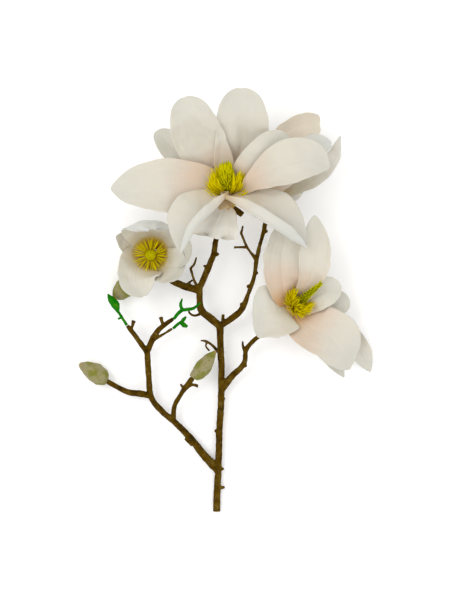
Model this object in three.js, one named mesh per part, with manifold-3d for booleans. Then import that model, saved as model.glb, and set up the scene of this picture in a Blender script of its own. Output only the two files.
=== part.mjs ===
import * as THREE from 'three';
import Module from 'manifold-3d';
import { mergeVertices } from 'three/addons/utils/BufferGeometryUtils.js';

// A cut magnolia branch that lies on a table, its blooms turned up. Millimetres, +Z up.
// Places are given on a layout grid: u runs right, v runs down towards the cut end, z is the height.

const GRID = 0.863;            // one square of the layout grid at the table
const GRID_EYE = 2000;         // height towards which the layout grid narrows
const GRID_MID_U = 225.8;      // layout place of the origin, the middle of the footprint
const GRID_MID_V = 302.7;
const SEAT_GAP = 0.32;         // clearance between a twig end and what sits on it
const TEPAL_THICK = 0.8;
const TEPAL_ROWS = 6;
const TEPAL_COLS = 6;
const ROW_CROWDING = 1.35;     // above 1 the rows of a tepal draw together towards its tip
const TIP_ROW = 0.9985;
const TIP_HALF = 0.3;          // half width left at the very tip
const TWIG_SIDES = 8;
const TWIG_STEP = 10;          // length of a straight piece of a twig
const THIN_TWIG = 1.7;         // a twig no thicker than this gets the smaller number of sides
const THIN_SIDES = 5;
const STAMEN_SIDES = 3;
const SMOOTHING = 0.08;        // corners flatter than this are dropped from a fused body
const CLAW_INSET = 0.4;        // how far inside the rim of the receptacle a tepal joins it
const CLAW_SINK = 2.5;         // and how far below its top
const CLAW_ROLL = 0.3;         // share of a tepal's roll already there at its claw
const ROLL_RISE = 2.2;         // how fast the rest of it comes
const GROOVE_HALF = 0.22;      // half width of the groove along a tepal, as a share of the half width
const NECK = 4;                // straight end of a receptacle, below its top
const SEAT_RUN = 1.5;          // straight start of a stick that sits on a twig end
const NECK_STEP = 3;
const SHOOT_SIDES = 6;
const GROWTH_STEP = 4;
const GOLDEN_TURN = 2.39996;
const NEEDLE = [0.75, 0.75, 0.35];
const NEEDLE_LOWEST = 0.15;    // share of the core's height where the first needle starts
const NEEDLE_RANGE = 0.75;     // share of it over which the needles are spread
const NEEDLE_SINK = 0.8;       // share of the core's radius where a needle starts
const NEEDLE_BEND = 0.55;      // share of a needle's length where it bends towards the axis
const NEEDLE_RISE = 0.12;      // rise of its tip as a share of its length
const CORE_STEPS = 3;
const CORE_FOOT = 0.65;        // how narrow the stamen core starts, as a share of its radius

const BARK = new THREE.MeshStandardMaterial({ color: 0x5c4010, roughness: 0.85, metalness: 0 });
const IVORY = new THREE.MeshStandardMaterial({ color: 0xe8e2d6, roughness: 0.6, metalness: 0 });
const GOLD = new THREE.MeshStandardMaterial({ color: 0xbea500, roughness: 0.65, metalness: 0 });
const OLIVE = new THREE.MeshStandardMaterial({ color: 0x828c10, roughness: 0.6, metalness: 0 });
const FELT = new THREE.MeshStandardMaterial({ color: 0xa0987a, roughness: 0.95, metalness: 0 });
const LEAF = new THREE.MeshStandardMaterial({ color: 0x1e7d05, roughness: 0.55, metalness: 0 });

const wasm = await Module();
wasm.setup();

const vec = (x, y, z) => new THREE.Vector3(x, y, z);

function at(u, v, z) {
  const k = GRID * (1 - z / GRID_EYE);
  return vec((u - GRID_MID_U) * k, (GRID_MID_V - v) * k, z);
}

const places = (list) => list.map((p) => at(...p));
const through = (points) => new THREE.CatmullRomCurve3(points, false, 'catmullrom', 0.5);

function between(values, t) {
  const x = Math.min(Math.max(t, 0), 1) * (values.length - 1);
  const i = Math.min(Math.floor(x), values.length - 2);
  return values[i] + (values[i + 1] - values[i]) * (x - i);
}

// ---- solids -------------------------------------------------------------------------------------

function solid(geometry) {
  const bare = geometry.clone();
  bare.deleteAttribute('normal');
  bare.deleteAttribute('uv');
  const merged = mergeVertices(bare, 1e-4);
  return new wasm.Manifold(new wasm.Mesh({
    numProp: 3,
    vertProperties: new Float32Array(merged.attributes.position.array),
    triVerts: new Uint32Array(merged.index.array),
  }));
}

// One body from many; the slivers a union can leave inside are dropped.
function fused(solids) {
  const whole = solids.reduce((sum, piece) => sum.add(piece)).simplify(SMOOTHING);
  return whole.decompose().reduce((most, piece) => (piece.volume() > most.volume() ? piece : most));
}

function addNode(group, name, material, body) {
  const mesh = body.getMesh();
  const geometry = new THREE.BufferGeometry();
  geometry.setAttribute('position', new THREE.BufferAttribute(new Float32Array(mesh.vertProperties), 3));
  geometry.setIndex(new THREE.BufferAttribute(new Uint32Array(mesh.triVerts), 1));
  geometry.computeVertexNormals();
  const node = new THREE.Mesh(geometry, material);
  node.name = name;
  group.add(node);
}

// Two unit vectors square to a direction; the first lies level wherever the direction allows it.
function square(direction) {
  const up = Math.abs(direction.z) > 0.95 ? vec(0, 1, 0) : vec(0, 0, 1);
  const side = direction.clone().cross(up).normalize();
  return [side, side.clone().cross(direction).normalize()];
}

// A round stick bent along points, its radius read off a list from end to end, flat where it rests.
function stick(points, radii, sides = TWIG_SIDES, step = TWIG_STEP) {
  const curve = through(points);
  const rings = Math.max(2, Math.round(curve.getLength() / step));
  const geometry = new THREE.CylinderGeometry(1, 1, 1, sides, rings);
  const place = geometry.attributes.position;
  for (let i = 0; i < place.count; i += 1) {
    const t = place.getY(i) + 0.5;
    const heading = curve.getTangent(t);
    const [side, top] = square(heading);
    const r = between(radii, t);
    const p = curve.getPoint(t);
    p.addScaledVector(side, r * place.getX(i));
    p.addScaledVector(top, r * place.getZ(i));
    place.setXYZ(i, p.x, p.y, Math.max(p.z, 0));
  }
  return solid(geometry);
}

// ---- tepals -------------------------------------------------------------------------------------

// Outline of a tepal as a share of its full half width: it opens up to `belly`, then closes to the tip.
function outline(s, { belly, open, close, point }) {
  if (s < belly) return Math.sin((Math.PI / 2) * (s / belly)) ** open;
  return (1 - ((s - belly) / (1 - belly)) ** close) ** point;
}

const ROUND = { belly: 0.6, open: 0.7, close: 2.4, point: 0.5 };
const POINTED = { belly: 0.52, open: 0.65, close: 1.9, point: 0.8 };
const FAN = { belly: 0.78, open: 0.7, close: 3, point: 0.35 };
const SPOON = { belly: 0.7, open: 0.6, close: 3, point: 0.4 };

// spine: points from claw to tip; face: which way the inner side looks along it; wide and cup: half
// widths and roll of the two halves; claw: half width where it joins; folds: height and number of pleats.
function tepal(heart, axis, ring, shape) {
  const { spine, face, wide, cup, edge = ROUND, claw = 3, groove = 0, folds = [0, 1] } = shape;
  const points = places(spine);
  const out = points[1].clone().sub(heart);
  out.addScaledVector(axis, -out.dot(axis)).normalize();
  points[0] = heart.clone().addScaledVector(axis, -CLAW_SINK).addScaledVector(out, ring);
  const curve = through(points);
  const sheet = new THREE.PlaneGeometry(2, 1, TEPAL_COLS, TEPAL_ROWS);
  const place = sheet.attributes.position;
  for (let i = 0; i < place.count; i += 1) {
    const v = place.getX(i);
    const s = TIP_ROW * (1 - (0.5 - place.getY(i)) ** ROW_CROWDING);
    const heading = curve.getTangentAt(s);
    const look = vec(...[0, 1, 2].map((k) => between(face.map((f) => f[k]), s)));
    look.addScaledVector(heading, -look.dot(heading)).normalize();
    const side = heading.clone().cross(look);
    const half = v < 0 ? 0 : 1;
    const curl = cup[half] * Math.min(1, CLAW_ROLL + ROLL_RISE * s);
    const roll = curl * Math.abs(v);
    const reach = Math.max(TIP_HALF, wide[half] * outline(s, edge) + claw * (1 - s) ** 3);
    const fold = folds[0] * s * s * Math.cos(Math.PI * folds[1] * v);
    const dip = groove * Math.exp(-((v / GROOVE_HALF) ** 2)) * Math.sin(Math.PI * s);
    const p = curve.getPointAt(s);
    p.addScaledVector(side, (Math.sign(v) * reach * Math.sin(roll)) / curl);
    p.addScaledVector(look, (reach * (1 - Math.cos(roll))) / curl + fold - dip);
    place.setXYZ(i, p.x, p.y, p.z);
  }
  return solid(thickened(sheet));
}

// Gives a sheet its thickness: both faces are cut into the same triangles and joined round the rim.
function thickened(sheet) {
  sheet.computeVertexNormals();
  const place = sheet.attributes.position;
  const normal = sheet.attributes.normal;
  const count = place.count;
  const points = new Float32Array(count * 6);
  for (let i = 0; i < count; i += 1) {
    const p = vec().fromBufferAttribute(place, i);
    const n = vec().fromBufferAttribute(normal, i).multiplyScalar(TEPAL_THICK / 2);
    const upper = n.z > 0 ? TEPAL_THICK : 0;
    const front = p.clone().add(n);
    const back = p.clone().sub(n);
    front.z = Math.max(front.z, upper);
    back.z = Math.max(back.z, TEPAL_THICK - upper);
    front.toArray(points, i * 3);
    back.toArray(points, (count + i) * 3);
  }
  const faces = [];
  const cut = sheet.index.array;
  for (let i = 0; i < cut.length; i += 3) {
    faces.push(cut[i], cut[i + 1], cut[i + 2]);
    faces.push(cut[i] + count, cut[i + 2] + count, cut[i + 1] + count);
  }
  const rim = rimOf(TEPAL_COLS + 1, TEPAL_ROWS + 1);
  rim.forEach((a, i) => {
    const b = rim[(i + 1) % rim.length];
    faces.push(a, a + count, b, b, a + count, b + count);
  });
  const geometry = new THREE.BufferGeometry();
  geometry.setAttribute('position', new THREE.BufferAttribute(points, 3));
  geometry.setIndex(faces);
  return geometry;
}

// Border of a grid of points, counter-clockwise as its front face is seen.
function rimOf(cols, rows) {
  const rim = [];
  for (let r = 0; r < rows - 1; r += 1) rim.push(r * cols);
  for (let c = 0; c < cols - 1; c += 1) rim.push((rows - 1) * cols + c);
  for (let r = rows - 1; r > 0; r -= 1) rim.push(r * cols + cols - 1);
  for (let c = cols - 1; c > 0; c -= 1) rim.push(c);
  return rim;
}

// ---- the woody branch ---------------------------------------------------------------------------

const TWIGS = {
  stem: {
    spine: [[216.7, 511.5, 3.1], [217.2, 490, 3.3], [218.5, 465, 4.2], [219.5, 430, 6], [221, 400, 8],
      [221.5, 370, 10], [220.5, 346, 12], [220, 326, 14]],
    radii: [3.1, 3, 2.9, 2.9, 2.9, 2.9, 2.8, 3.2],
  },
  leftLimb: {
    spine: [[218.6, 470, 4.6], [206, 457.5, 6], [191.7, 439.6, 7.4], [175.4, 422.6, 8.8], [162, 411.4, 9.8],
      [151.2, 397, 10.8], [148.6, 374, 12.6], [147.2, 352, 14.5]],
    radii: [4.2, 3.4, 3.0, 2.6, 2.4, 2.4, 2.2, 2.2],
  },
  leftBudTwig: {
    spine: [[150.5, 395.6, 10.8], [140, 393.6, 9.6], [128, 392, 8.6], [115.5, 386, 8], [107.4, 381.6, 8]],
    radii: [2, 2, 1.9, 1.9, 2.4],
  },
  middleBudTwig: {
    spine: [[173.4, 419, 9], [174.6, 406, 11], [180.4, 395, 12], [184.9, 388, 13], [192.6, 378, 14]],
    radii: [1.7, 1.7, 1.7, 1.8, 2.1],
  },
  leftForkUp: {
    spine: [[147, 352, 14.5], [136.4, 337.4, 15.5], [127.2, 325.4, 16]],
    radii: [2.2, 1.9, 1.6],
  },
  rightForkUp: {
    spine: [[147.8, 350, 14.5], [155.7, 333.4, 17.5], [163.9, 325.4, 20], [173.2, 318.8, 22]],
    radii: [2.1, 1.9, 1.7, 1.4],
  },
  lowerFork: { spine: [[152, 341, 16], [161, 335.5, 17], [172.5, 328.5, 18]], radii: [1.5, 1.2, 1.1] },
  limb: {
    spine: [[220, 326, 14], [208.6, 316.9, 16], [201.5, 310.5, 18], [199.6, 300, 20], [199.6, 288, 22]],
    radii: [3.1, 2.9, 2.7, 2.6, 2.8],
  },
  cupTwig: {
    spine: [[199.6, 290, 22], [185, 286.4, 17], [173, 281, 12], [162, 273, 7.4], [155.5, 265, 5]],
    radii: [2.9, 2.8, 2.8, 2.5, 2.3],
  },
  cupBudTwig: {
    spine: [[167, 275.5, 9.5], [156, 275.5, 7.2], [148, 274.5, 6.6], [141.5, 275, 6.6]],
    radii: [2, 1.7, 1.7, 2],
  },
  frontTwig: {
    spine: [[199.6, 288, 22], [204.3, 277.4, 23], [208.5, 267, 24], [213.5, 255, 25], [216, 240, 25.5],
      [222, 222, 28], [226.5, 212, 32.5], [228.5, 208, 38.5]],
    radii: [2.6, 2.4, 2.4, 2.3, 2.4, 2.4, 2.5, 2.6],
  },
  frontSpur: { spine: [[198, 288, 22], [194, 280, 24], [190.5, 268, 26]], radii: [1.7, 1.5, 1.4] },
  frontSpurTip: { spine: [[190.5, 268.3, 26], [194.3, 264, 27], [196.5, 257, 28]], radii: [1.4, 1.3, 1.1] },
  rightTwig: {
    spine: [[220, 326, 14], [228, 321, 15.5], [238, 313.5, 17.5], [243.5, 306, 19], [248.6, 293, 21],
      [254.2, 276, 24], [256.6, 260, 26], [259.6, 246, 27], [263.6, 231, 28], [267, 212, 29],
      [267, 203, 29.5]],
    radii: [3, 2.8, 2.6, 2.6, 2.3, 2.3, 2.4, 2.1, 2.1, 2.1, 2.4],
  },
  crotchSpur: { spine: [[222.5, 326, 15], [223.2, 314.5, 17]], radii: [1.6, 1.3] },
  rightFork: {
    spine: [[256, 259, 26], [250, 251.5, 27.5], [246.5, 246, 28.5], [241, 233, 30.5]],
    radii: [2.2, 1.5, 1.2, 1.2],
  },
  rightForkTip: { spine: [[241, 234, 30.3], [243, 225.5, 32]], radii: [1.2, 0.9] },
  rightForkSide: {
    spine: [[247.4, 247.4, 28.3], [240, 247.2, 29], [234, 247.3, 29.5]],
    radii: [0.9, 0.8, 1.1],
  },
  lowerRight: {
    spine: [[221, 390, 8.4], [231.4, 376.8, 10], [240.5, 368, 12], [244.7, 361, 14], [245.8, 351, 15],
      [250, 344, 16], [258, 337, 17], [270, 328, 18], [280, 320, 19.5]],
    radii: [3.2, 2.4, 2.2, 2.1, 2.0, 2.0, 2.0, 2.1, 2.3],
  },
  lowerRightSpur: {
    spine: [[245.6, 353, 15], [243.2, 347, 16.5], [242.6, 341, 17.5]],
    radii: [1.6, 1.3, 0.9],
  },
  hook: {
    spine: [[219.8, 354, 12], [213.5, 346.5, 14.5], [206.6, 341.5, 17], [200.3, 340.5, 18]],
    radii: [1.5, 1, 1, 0.7],
  },
  hookLoop: { spine: [[207.2, 341.7, 17], [205.8, 346, 17], [209.5, 351, 16.6]], radii: [0.9, 0.8, 0.7] },
  limbSpur: {
    spine: [[203.5, 312.5, 17.6], [195, 315.5, 20], [189.5, 313, 20.5], [189, 309, 20]],
    radii: [1.4, 1, 0.9, 0.7],
  },
  knobTwig: { spine: [[183, 391, 12.5], [192, 385, 13.5], [198.2, 386.2, 13.5]], radii: [1.3, 1.2, 1.6] },
};

// Leaf scars and sleeping buds: short blunt nubs that start inside the bark.
const NUBS = [
  [[218, 488, 3.6], [225, 487, 4.4], 2.1, 1.2],
  [[219.5, 469.5, 4.6], [224, 468.5, 5.4], 2.0, 1.1],
  [[219, 432, 6], [214.6, 430.4, 7.6], 2.1, 1.2],
  [[194, 443.5, 7.4], [187, 436.5, 7.6], 3.8, 3.4],
  [[184, 389, 12.9], [180.4, 384, 14], 1.5, 1.0],
  [[163, 325.5, 20], [160.6, 317, 21.5], 1.1, 2.0],
  [[131.5, 329.5, 15.8], [133.8, 320.5, 17.5], 0.9, 2.0],
  [[208, 267.5, 24], [203.6, 265.5, 26], 1.6, 1.0],
  [[213.5, 256, 25], [218.8, 253.6, 26], 1.7, 1.1],
  [[186, 285, 17.6], [192.5, 280, 20.5], 1.3, 0.9],
  [[264, 231.5, 28], [267.6, 231, 29], 1.9, 1.1],
  [[253.8, 274.5, 24], [258, 272.5, 25.4], 1.8, 1.1],
  [[250.5, 287, 22], [247, 286, 23.5], 2.1, 1.3],
  [[243, 307, 19], [241.2, 303, 20.5], 2.6, 1.6],
  [[242.5, 366, 12.6], [247, 365.5, 13.5], 2.1, 1.3],
  [[221.5, 401, 8], [224.2, 397.5, 9.4], 2.4, 1.4],
  [[228, 208.5, 34], [243.4, 215.2, 35.5], 2.6, 2.4],
];

// ---- blooms -------------------------------------------------------------------------------------

// twig: what it grows on; heart and axis: where its receptacle ends and the way it looks.
const BLOOMS = {
  front: {
    twig: 'frontTwig',
    heart: [228.5, 198, 50],
    axis: [-0.08, 0.85, 0.5],
    receptacle: [2.6, 3.2, 6.4, 6.6],
    tepals: {
      left: {
        spine: [[227, 201, 46], [205, 190, 52], [170, 186.5, 57], [135, 187, 58], [110.5, 188.5, 51]],
        face: [[0, 0.1, 1], [0, 0.1, 1]], wide: [23, 23], cup: [0.5, 0.5], edge: POINTED, claw: 9,
      },
      upLeft: {
        spine: [[229, 200, 44], [215, 170, 46], [201, 141, 56], [191, 117, 67], [184, 97, 66]],
        face: [[-0.3, -0.1, 1], [0, 0, 1]], wide: [22, 21.5], cup: [0.5, 0.5], groove: 1.2, claw: 8,
      },
      up: {
        spine: [[231, 200, 44], [237, 168, 46], [242, 140, 55], [242, 112, 62], [241, 88, 58]],
        face: [[0, -0.1, 1], [0, 0, 1]], wide: [23, 23], cup: [0.5, 0.5], groove: 3, claw: 8,
      },
      behind: {
        spine: [[228, 201, 45], [205, 180, 44], [180, 155, 46], [156, 131, 41]],
        face: [[0, 0, 1], [0.3, 0, 1]], wide: [13, 14], cup: [0.6, 0.6], claw: 4,
      },
      right: {
        spine: [[233, 201, 48], [252, 183, 66], [280, 168, 78], [308, 160, 80], [330, 167, 71]],
        face: [[0, 0.1, 1], [0, 0.25, 1]], wide: [21, 18], cup: [0.4, 0.6],
        edge: { belly: 0.66, open: 2, close: 1.9, point: 0.8 }, claw: 4,
      },
      upRight: {
        spine: [[233, 200, 46], [253, 172, 63], [271, 150, 71], [290, 137, 69]],
        face: [[-0.2, 0.3, 1], [0, 0, 1], [-0.1, 0, 1]], wide: [16.5, 13], cup: [0.25, 0.3],
        edge: { belly: 0.6, open: 0.4, close: 2.4, point: 0.5 }, claw: 6,
      },
      lowRight: {
        spine: [[232.5, 203, 50], [228, 194.5, 63], [245, 204, 68], [272, 222.5, 72], [306.5, 247, 59]],
        face: [[0.5, 0.4, 0.7], [0.3, 0.42, 0.87], [0.3, 0.42, 0.87]], wide: [29, 20], cup: [0.45, 3.1],
        edge: { belly: 0.58, open: 0.9, close: 2.2, point: 0.85 }, claw: 2.6,
      },
      lowLeft: {
        spine: [[229, 203, 50], [225, 193, 63.5], [212, 206, 68.5], [193.5, 226, 75], [180, 254, 69]],
        face: [[-0.6, 0.3, 0.7], [-0.35, 0.3, 0.87], [-0.35, 0.3, 0.87]], wide: [15.5, 28], cup: [3.1, 0.45],
        edge: { belly: 0.52, open: 1, close: 1.9, point: 0.95 }, claw: 2.7,
      },
      low: {
        spine: [[230, 205, 48], [222.5, 213, 52], [217, 225, 54], [215, 238, 53]],
        face: [[0, 0.1, 1], [-0.2, 0.1, 1]], wide: [20, 20.5], cup: [0.3, 0.3], edge: FAN, folds: [2.4, 3],
      },
    },
    stamens: { core: [3.9, 8], count: 44, length: [17, 20], lean: [0.5, 1.15] },
    pistil: { radii: [4, 4.5, 4.1, 3, 1.4], length: 19 },
  },
  back: {
    twig: 'rightTwig',
    heart: [270, 192, 33],
    axis: [0.6, 0.45, 0.3],
    receptacle: [2.4, 3, 5.4, 5.6],
    tepals: {
      top: {
        spine: [[268, 193, 31], [271, 165, 42], [280, 140, 47], [297, 126.5, 48], [320, 124, 44]],
        face: [[0.3, -0.3, 0.8], [0.2, -0.2, 0.9]], wide: [11.5, 11], cup: [0.8, 0.5],
        edge: { belly: 0.45, open: 0.6, close: 16, point: 0.3 }, claw: 6,
      },
      inner: {
        spine: [[269, 191, 35], [288, 170, 53], [312, 150, 57], [331, 145, 51]],
        face: [[0.3, 0.3, -0.8], [0.3, 0.3, -0.8]], wide: [14, 14], cup: [0.7, 0.7], claw: 4,
      },
      side: {
        spine: [[272, 194, 30], [300, 187.5, 32], [322, 174.5, 35], [336.5, 157, 36], [341, 135.5, 34]],
        face: [[-0.4, 0.6, -0.6], [-0.7, 0.3, -0.6]], wide: [15, 13], cup: [0.8, 0.8],
        edge: { belly: 0.52, open: 0.9, close: 1.9, point: 0.8 }, claw: 2.5,
      },
      under: {
        spine: [[270, 195, 28], [282, 196, 25], [292, 195, 22], [303, 191, 20]],
        face: [[-0.2, 0.5, -0.7], [-0.2, 0.5, -0.7]], wide: [11, 10], cup: [0.7, 0.7], claw: 2,
      },
      low: {
        spine: [[270, 192, 27], [284, 172, 13], [302, 152, 4], [322, 140, -1]],
        face: [[-0.2, 0.4, 0.9], [-0.2, 0.4, 0.9]], wide: [16, 16], cup: [0.7, 0.7], claw: 4,
      },
      lowFar: {
        spine: [[267, 190, 27], [276, 163, 17], [288, 141, 12], [304, 124, 13]],
        face: [[0.3, -0.2, 0.9], [0.3, -0.2, 0.9]], wide: [15, 15], cup: [0.7, 0.7], claw: 4,
      },
      lowSide: {
        spine: [[271, 193, 27], [290, 184, 14], [310, 172, 5], [328, 162, -1]],
        face: [[-0.3, 0.6, 0.8], [-0.3, 0.6, 0.8]], wide: [14, 14], cup: [0.7, 0.7], claw: 4,
      },
    },
    stamens: { core: [2, 3.6], count: 16, length: [4, 6], lean: [0.2, 0.7] },
    pistil: { radii: [1.3, 1.4, 1.2, 0.6], length: 5 },
  },
  right: {
    twig: 'lowerRight',
    heart: [293, 307.5, 24],
    axis: [0.56, 0.5, 0.66],
    receptacle: [2.3, 3, 6, 6.2],
    tepals: {
      tallLeft: {
        spine: [[289, 309, 22], [283, 286, 33], [282, 258, 41], [288, 214, 40]],
        face: [[0.7, -0.7, 0.2], [0, -0.2, 1], [0, 0, 1], [0, 0, 1]], wide: [16, 18], cup: [0.7, 0.4],
        edge: POINTED, groove: 1.2, claw: 5,
      },
      tallRight: {
        spine: [[293, 309, 22], [309, 281, 41], [315.5, 250, 51], [314.5, 215, 50]],
        face: [[0.4, -0.8, 0.4], [0.1, -0.2, 1], [0, 0, 1], [0, 0, 1]], wide: [14, 13.5], cup: [0.5, 0.5],
        edge: { belly: 0.64, open: 1.6, close: 1.9, point: 0.85 }, claw: 3,
      },
      rightUp: {
        spine: [[294, 309, 20], [313, 298, 32], [328, 290, 37], [340, 284, 36]],
        face: [[-0.8, 0.2, 0.6], [0.1, 0, 1], [0.1, 0, 1], [0.1, 0, 1]], wide: [13, 13],
        cup: [0.4, 0.4], claw: 2.5,
      },
      rightLow: {
        spine: [[294, 311, 19], [318, 303, 25], [335, 302, 27], [349.5, 307, 24]],
        face: [[-0.8, 0.3, 0.5], [0.1, 0, 1], [0.1, 0, 1], [0.1, 0, 1]], wide: [11, 12],
        cup: [0.4, 0.4], claw: 3,
      },
      near: {
        spine: [[290, 315, 23], [280, 312, 32], [267, 312.5, 37], [252.5, 313, 34]],
        face: [[0.2, 0.6, 1], [0.1, 0.1, 1]], wide: [23, 23], cup: [0.3, 0.4],
        edge: { belly: 0.64, open: 0.3, close: 2.6, point: 0.5 }, claw: 7,
      },
      low: {
        spine: [[293, 315, 21], [312, 329, 33], [335, 343, 32], [350, 369.5, 13]],
        face: [[0.2, 0.2, 1], [0.2, 0.2, 1]], wide: [24.5, 20], cup: [0.5, 0.5],
        edge: { belly: 0.54, open: 0.5, close: 1.9, point: 0.95 }, claw: 8,
      },
      lowBack: {
        spine: [[293, 317, 19], [330, 328, 20], [356, 346, 14], [370.5, 372, -1]],
        face: [[-0.3, 0.2, 1], [-0.3, 0.2, 1]], wide: [12, 12], cup: [0.5, 0.5], edge: POINTED, claw: 5,
      },
      lowUnder: {
        spine: [[292, 316, 18], [316, 339, 15], [331, 357, 7], [344, 377.5, -1]],
        face: [[0.1, 0.2, 1], [0.1, 0.2, 1]], wide: [9, 9], cup: [0.5, 0.5], edge: POINTED, claw: 5,
      },
    },
    stamens: { core: [4.5, 8], count: 38, length: [11, 14], lean: [0.5, 1.25] },
    pistil: { radii: [2.6, 2.6, 2.3, 2, 0.9], length: 32.5 },
  },
  cup: {
    twig: 'cupTwig',
    heart: [151, 256, 10],
    axis: [0, 0.05, 1],
    receptacle: [2.4, 3, 6, 6.4],
    tepals: {
      up: {
        spine: [[151, 254, 8], [150, 235, 16], [150, 222, 32], [150.5, 221.5, 42], [151.5, 229.5, 47]],
        face: [[0, -0.2, 1], [0, -1, 0.3], [0, -0.8, -0.6]], wide: [26, 23], cup: [0.6, 0.6], edge: SPOON,
        claw: 7, folds: [0.8, 3],
      },
      left: {
        spine: [[149, 256, 8], [134, 249, 10], [124, 243, 14], [116, 237, 24]],
        face: [[0.3, 0, 1], [0.7, 0.2, 0.7]], wide: [8.5, 12], cup: [0.4, 0.6], edge: POINTED, claw: 7,
      },
      lowLeft: {
        spine: [[150, 258, 8], [139, 266, 17], [136, 280, 26], [144, 296, 27]],
        face: [[0.1, 0.3, 1], [0.1, 0.4, 0.9]], wide: [20, 16], cup: [0.5, 0.5],
        edge: { belly: 0.45, open: 0.3, close: 2.4, point: 0.55 }, claw: 8,
      },
      lowRight: {
        spine: [[153, 258, 8], [161.5, 266, 17.5], [175, 267.5, 28], [186, 265.5, 35]],
        face: [[-0.3, 0.3, 1], [-0.7, 0.4, 0.7]], wide: [17, 15.5], cup: [0.5, 0.5], edge: SPOON, claw: 9,
      },
      right: {
        spine: [[153, 255, 8], [168, 251, 16], [182, 249, 28], [192, 248, 38]],
        face: [[-0.3, 0, 1], [-0.9, 0, 0.5]], wide: [17, 17], cup: [0.6, 0.6], edge: SPOON, claw: 7,
      },
    },
    stamens: { core: [4.2, 10], count: 34, length: [8, 11.5], lean: [0.9, 1.5] },
    pistil: { radii: [3.2, 4.6, 4.2, 2], length: 5 },
  },
};

// ---- buds and green shoots ----------------------------------------------------------------------

// Felted winter buds: each sits on a twig end and swells from it.
const FELTED_BUDS = {
  left: {
    twig: 'leftBudTwig',
    spine: [[101.5, 377.5, 8.6], [94.5, 372.2, 8.8], [86.5, 367.6, 8.4], [79.8, 365, 7.8]],
    radii: [2.4, 4.6, 7.8, 8.3, 5.8, 1.8],
  },
  cup: {
    twig: 'cupBudTwig',
    spine: [[131, 282, 8.4], [124, 288.6, 8.8], [118.6, 294, 8.2], [114.8, 297.8, 7.6]],
    radii: [2.4, 4.4, 7.6, 8.6, 6.6, 2.4],
  },
  middle: {
    twig: 'middleBudTwig',
    spine: [[198.6, 372.6, 15], [203.8, 366.6, 16.5], [209, 359, 18.5], [215.4, 351.4, 20]],
    radii: [2.4, 4.2, 6.4, 7, 5.2, 1.2],
  },
};

// Green shoots: the first stick sits on a twig end, the others grow out of it.
const SHOOTS = {
  left_leaf_bud: {
    twig: 'leftForkUp',
    sticks: [
      [[[121, 316, 16.5], [117, 310, 17]], [1.4, 1.2, 1.3]],
      [[[118, 312, 17], [115.5, 305, 18], [111, 299, 18], [107.8, 294, 17]], [1.3, 3.8, 3.1, 0.5]],
      [[[121.2, 317.5, 16.5], [118, 319, 17.5]], [1.1, 0.9]],
    ],
  },
  upper_green_shoot: {
    twig: 'rightForkUp',
    sticks: [
      [[[178, 313.5, 23.5], [182.7, 309.5, 25]], [1.3, 1.5, 1.6]],
      [[[182.4, 310.4, 25], [180.6, 304.5, 26.5], [182.3, 298.5, 27.5]], [1.6, 1.4, 0.6]],
      [[[182, 310, 25], [188, 309.3, 26], [194, 308, 27.5], [200.5, 302.5, 29]], [1.6, 1.5, 1.3, 0.7]],
    ],
  },
  lower_green_shoot: {
    twig: 'lowerFork',
    sticks: [
      [[[178, 324, 18.5], [182, 321.5, 18.5]], [1.1, 1.3, 1.3]],
      [[[181.4, 322, 18.5], [183.6, 319.5, 19], [186, 316.5, 19.5]], [1.3, 1.7, 0.9]],
      [[[180.6, 322.3, 18.5], [184, 325, 18.5], [187.5, 326.5, 18]], [1.4, 2.3, 1]],
    ],
  },
};

// ---- assembly -----------------------------------------------------------------------------------

function seatOn(twig) {
  const curve = through(places(TWIGS[twig].spine));
  const heading = curve.getTangent(1).normalize();
  return [curve.getPoint(1).addScaledVector(heading, SEAT_GAP), heading];
}

// Points of a stick that starts face to face with the cut end of a twig.
function grownFrom(twig, rest) {
  const [seat, heading] = seatOn(twig);
  return [seat, seat.clone().addScaledVector(heading, SEAT_RUN), ...rest];
}

function addBloom(group, name, bloom) {
  const heart = at(...bloom.heart);
  const axis = vec(...bloom.axis).normalize();
  const neck = grownFrom(bloom.twig, [heart.clone().addScaledVector(axis, -NECK), heart]);
  const receptacle = stick(neck, bloom.receptacle, TWIG_SIDES, NECK_STEP);
  const ring = bloom.receptacle.at(-1) - CLAW_INSET;
  const tepals = Object.values(bloom.tepals).map((shape) => tepal(heart, axis, ring, shape));
  const whorl = fused([receptacle, ...tepals]);
  const pistil = cone(heart, axis, SEAT_GAP * 2 + bloom.stamens.core[1], bloom.pistil);
  addNode(group, `${name}_bloom_tepals`, IVORY, whorl);
  addNode(group, `${name}_bloom_stamens`, GOLD, stamens(heart, axis, bloom.stamens, [whorl, pistil]));
  addNode(group, `${name}_bloom_pistil`, OLIVE, pistil);
}

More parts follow.
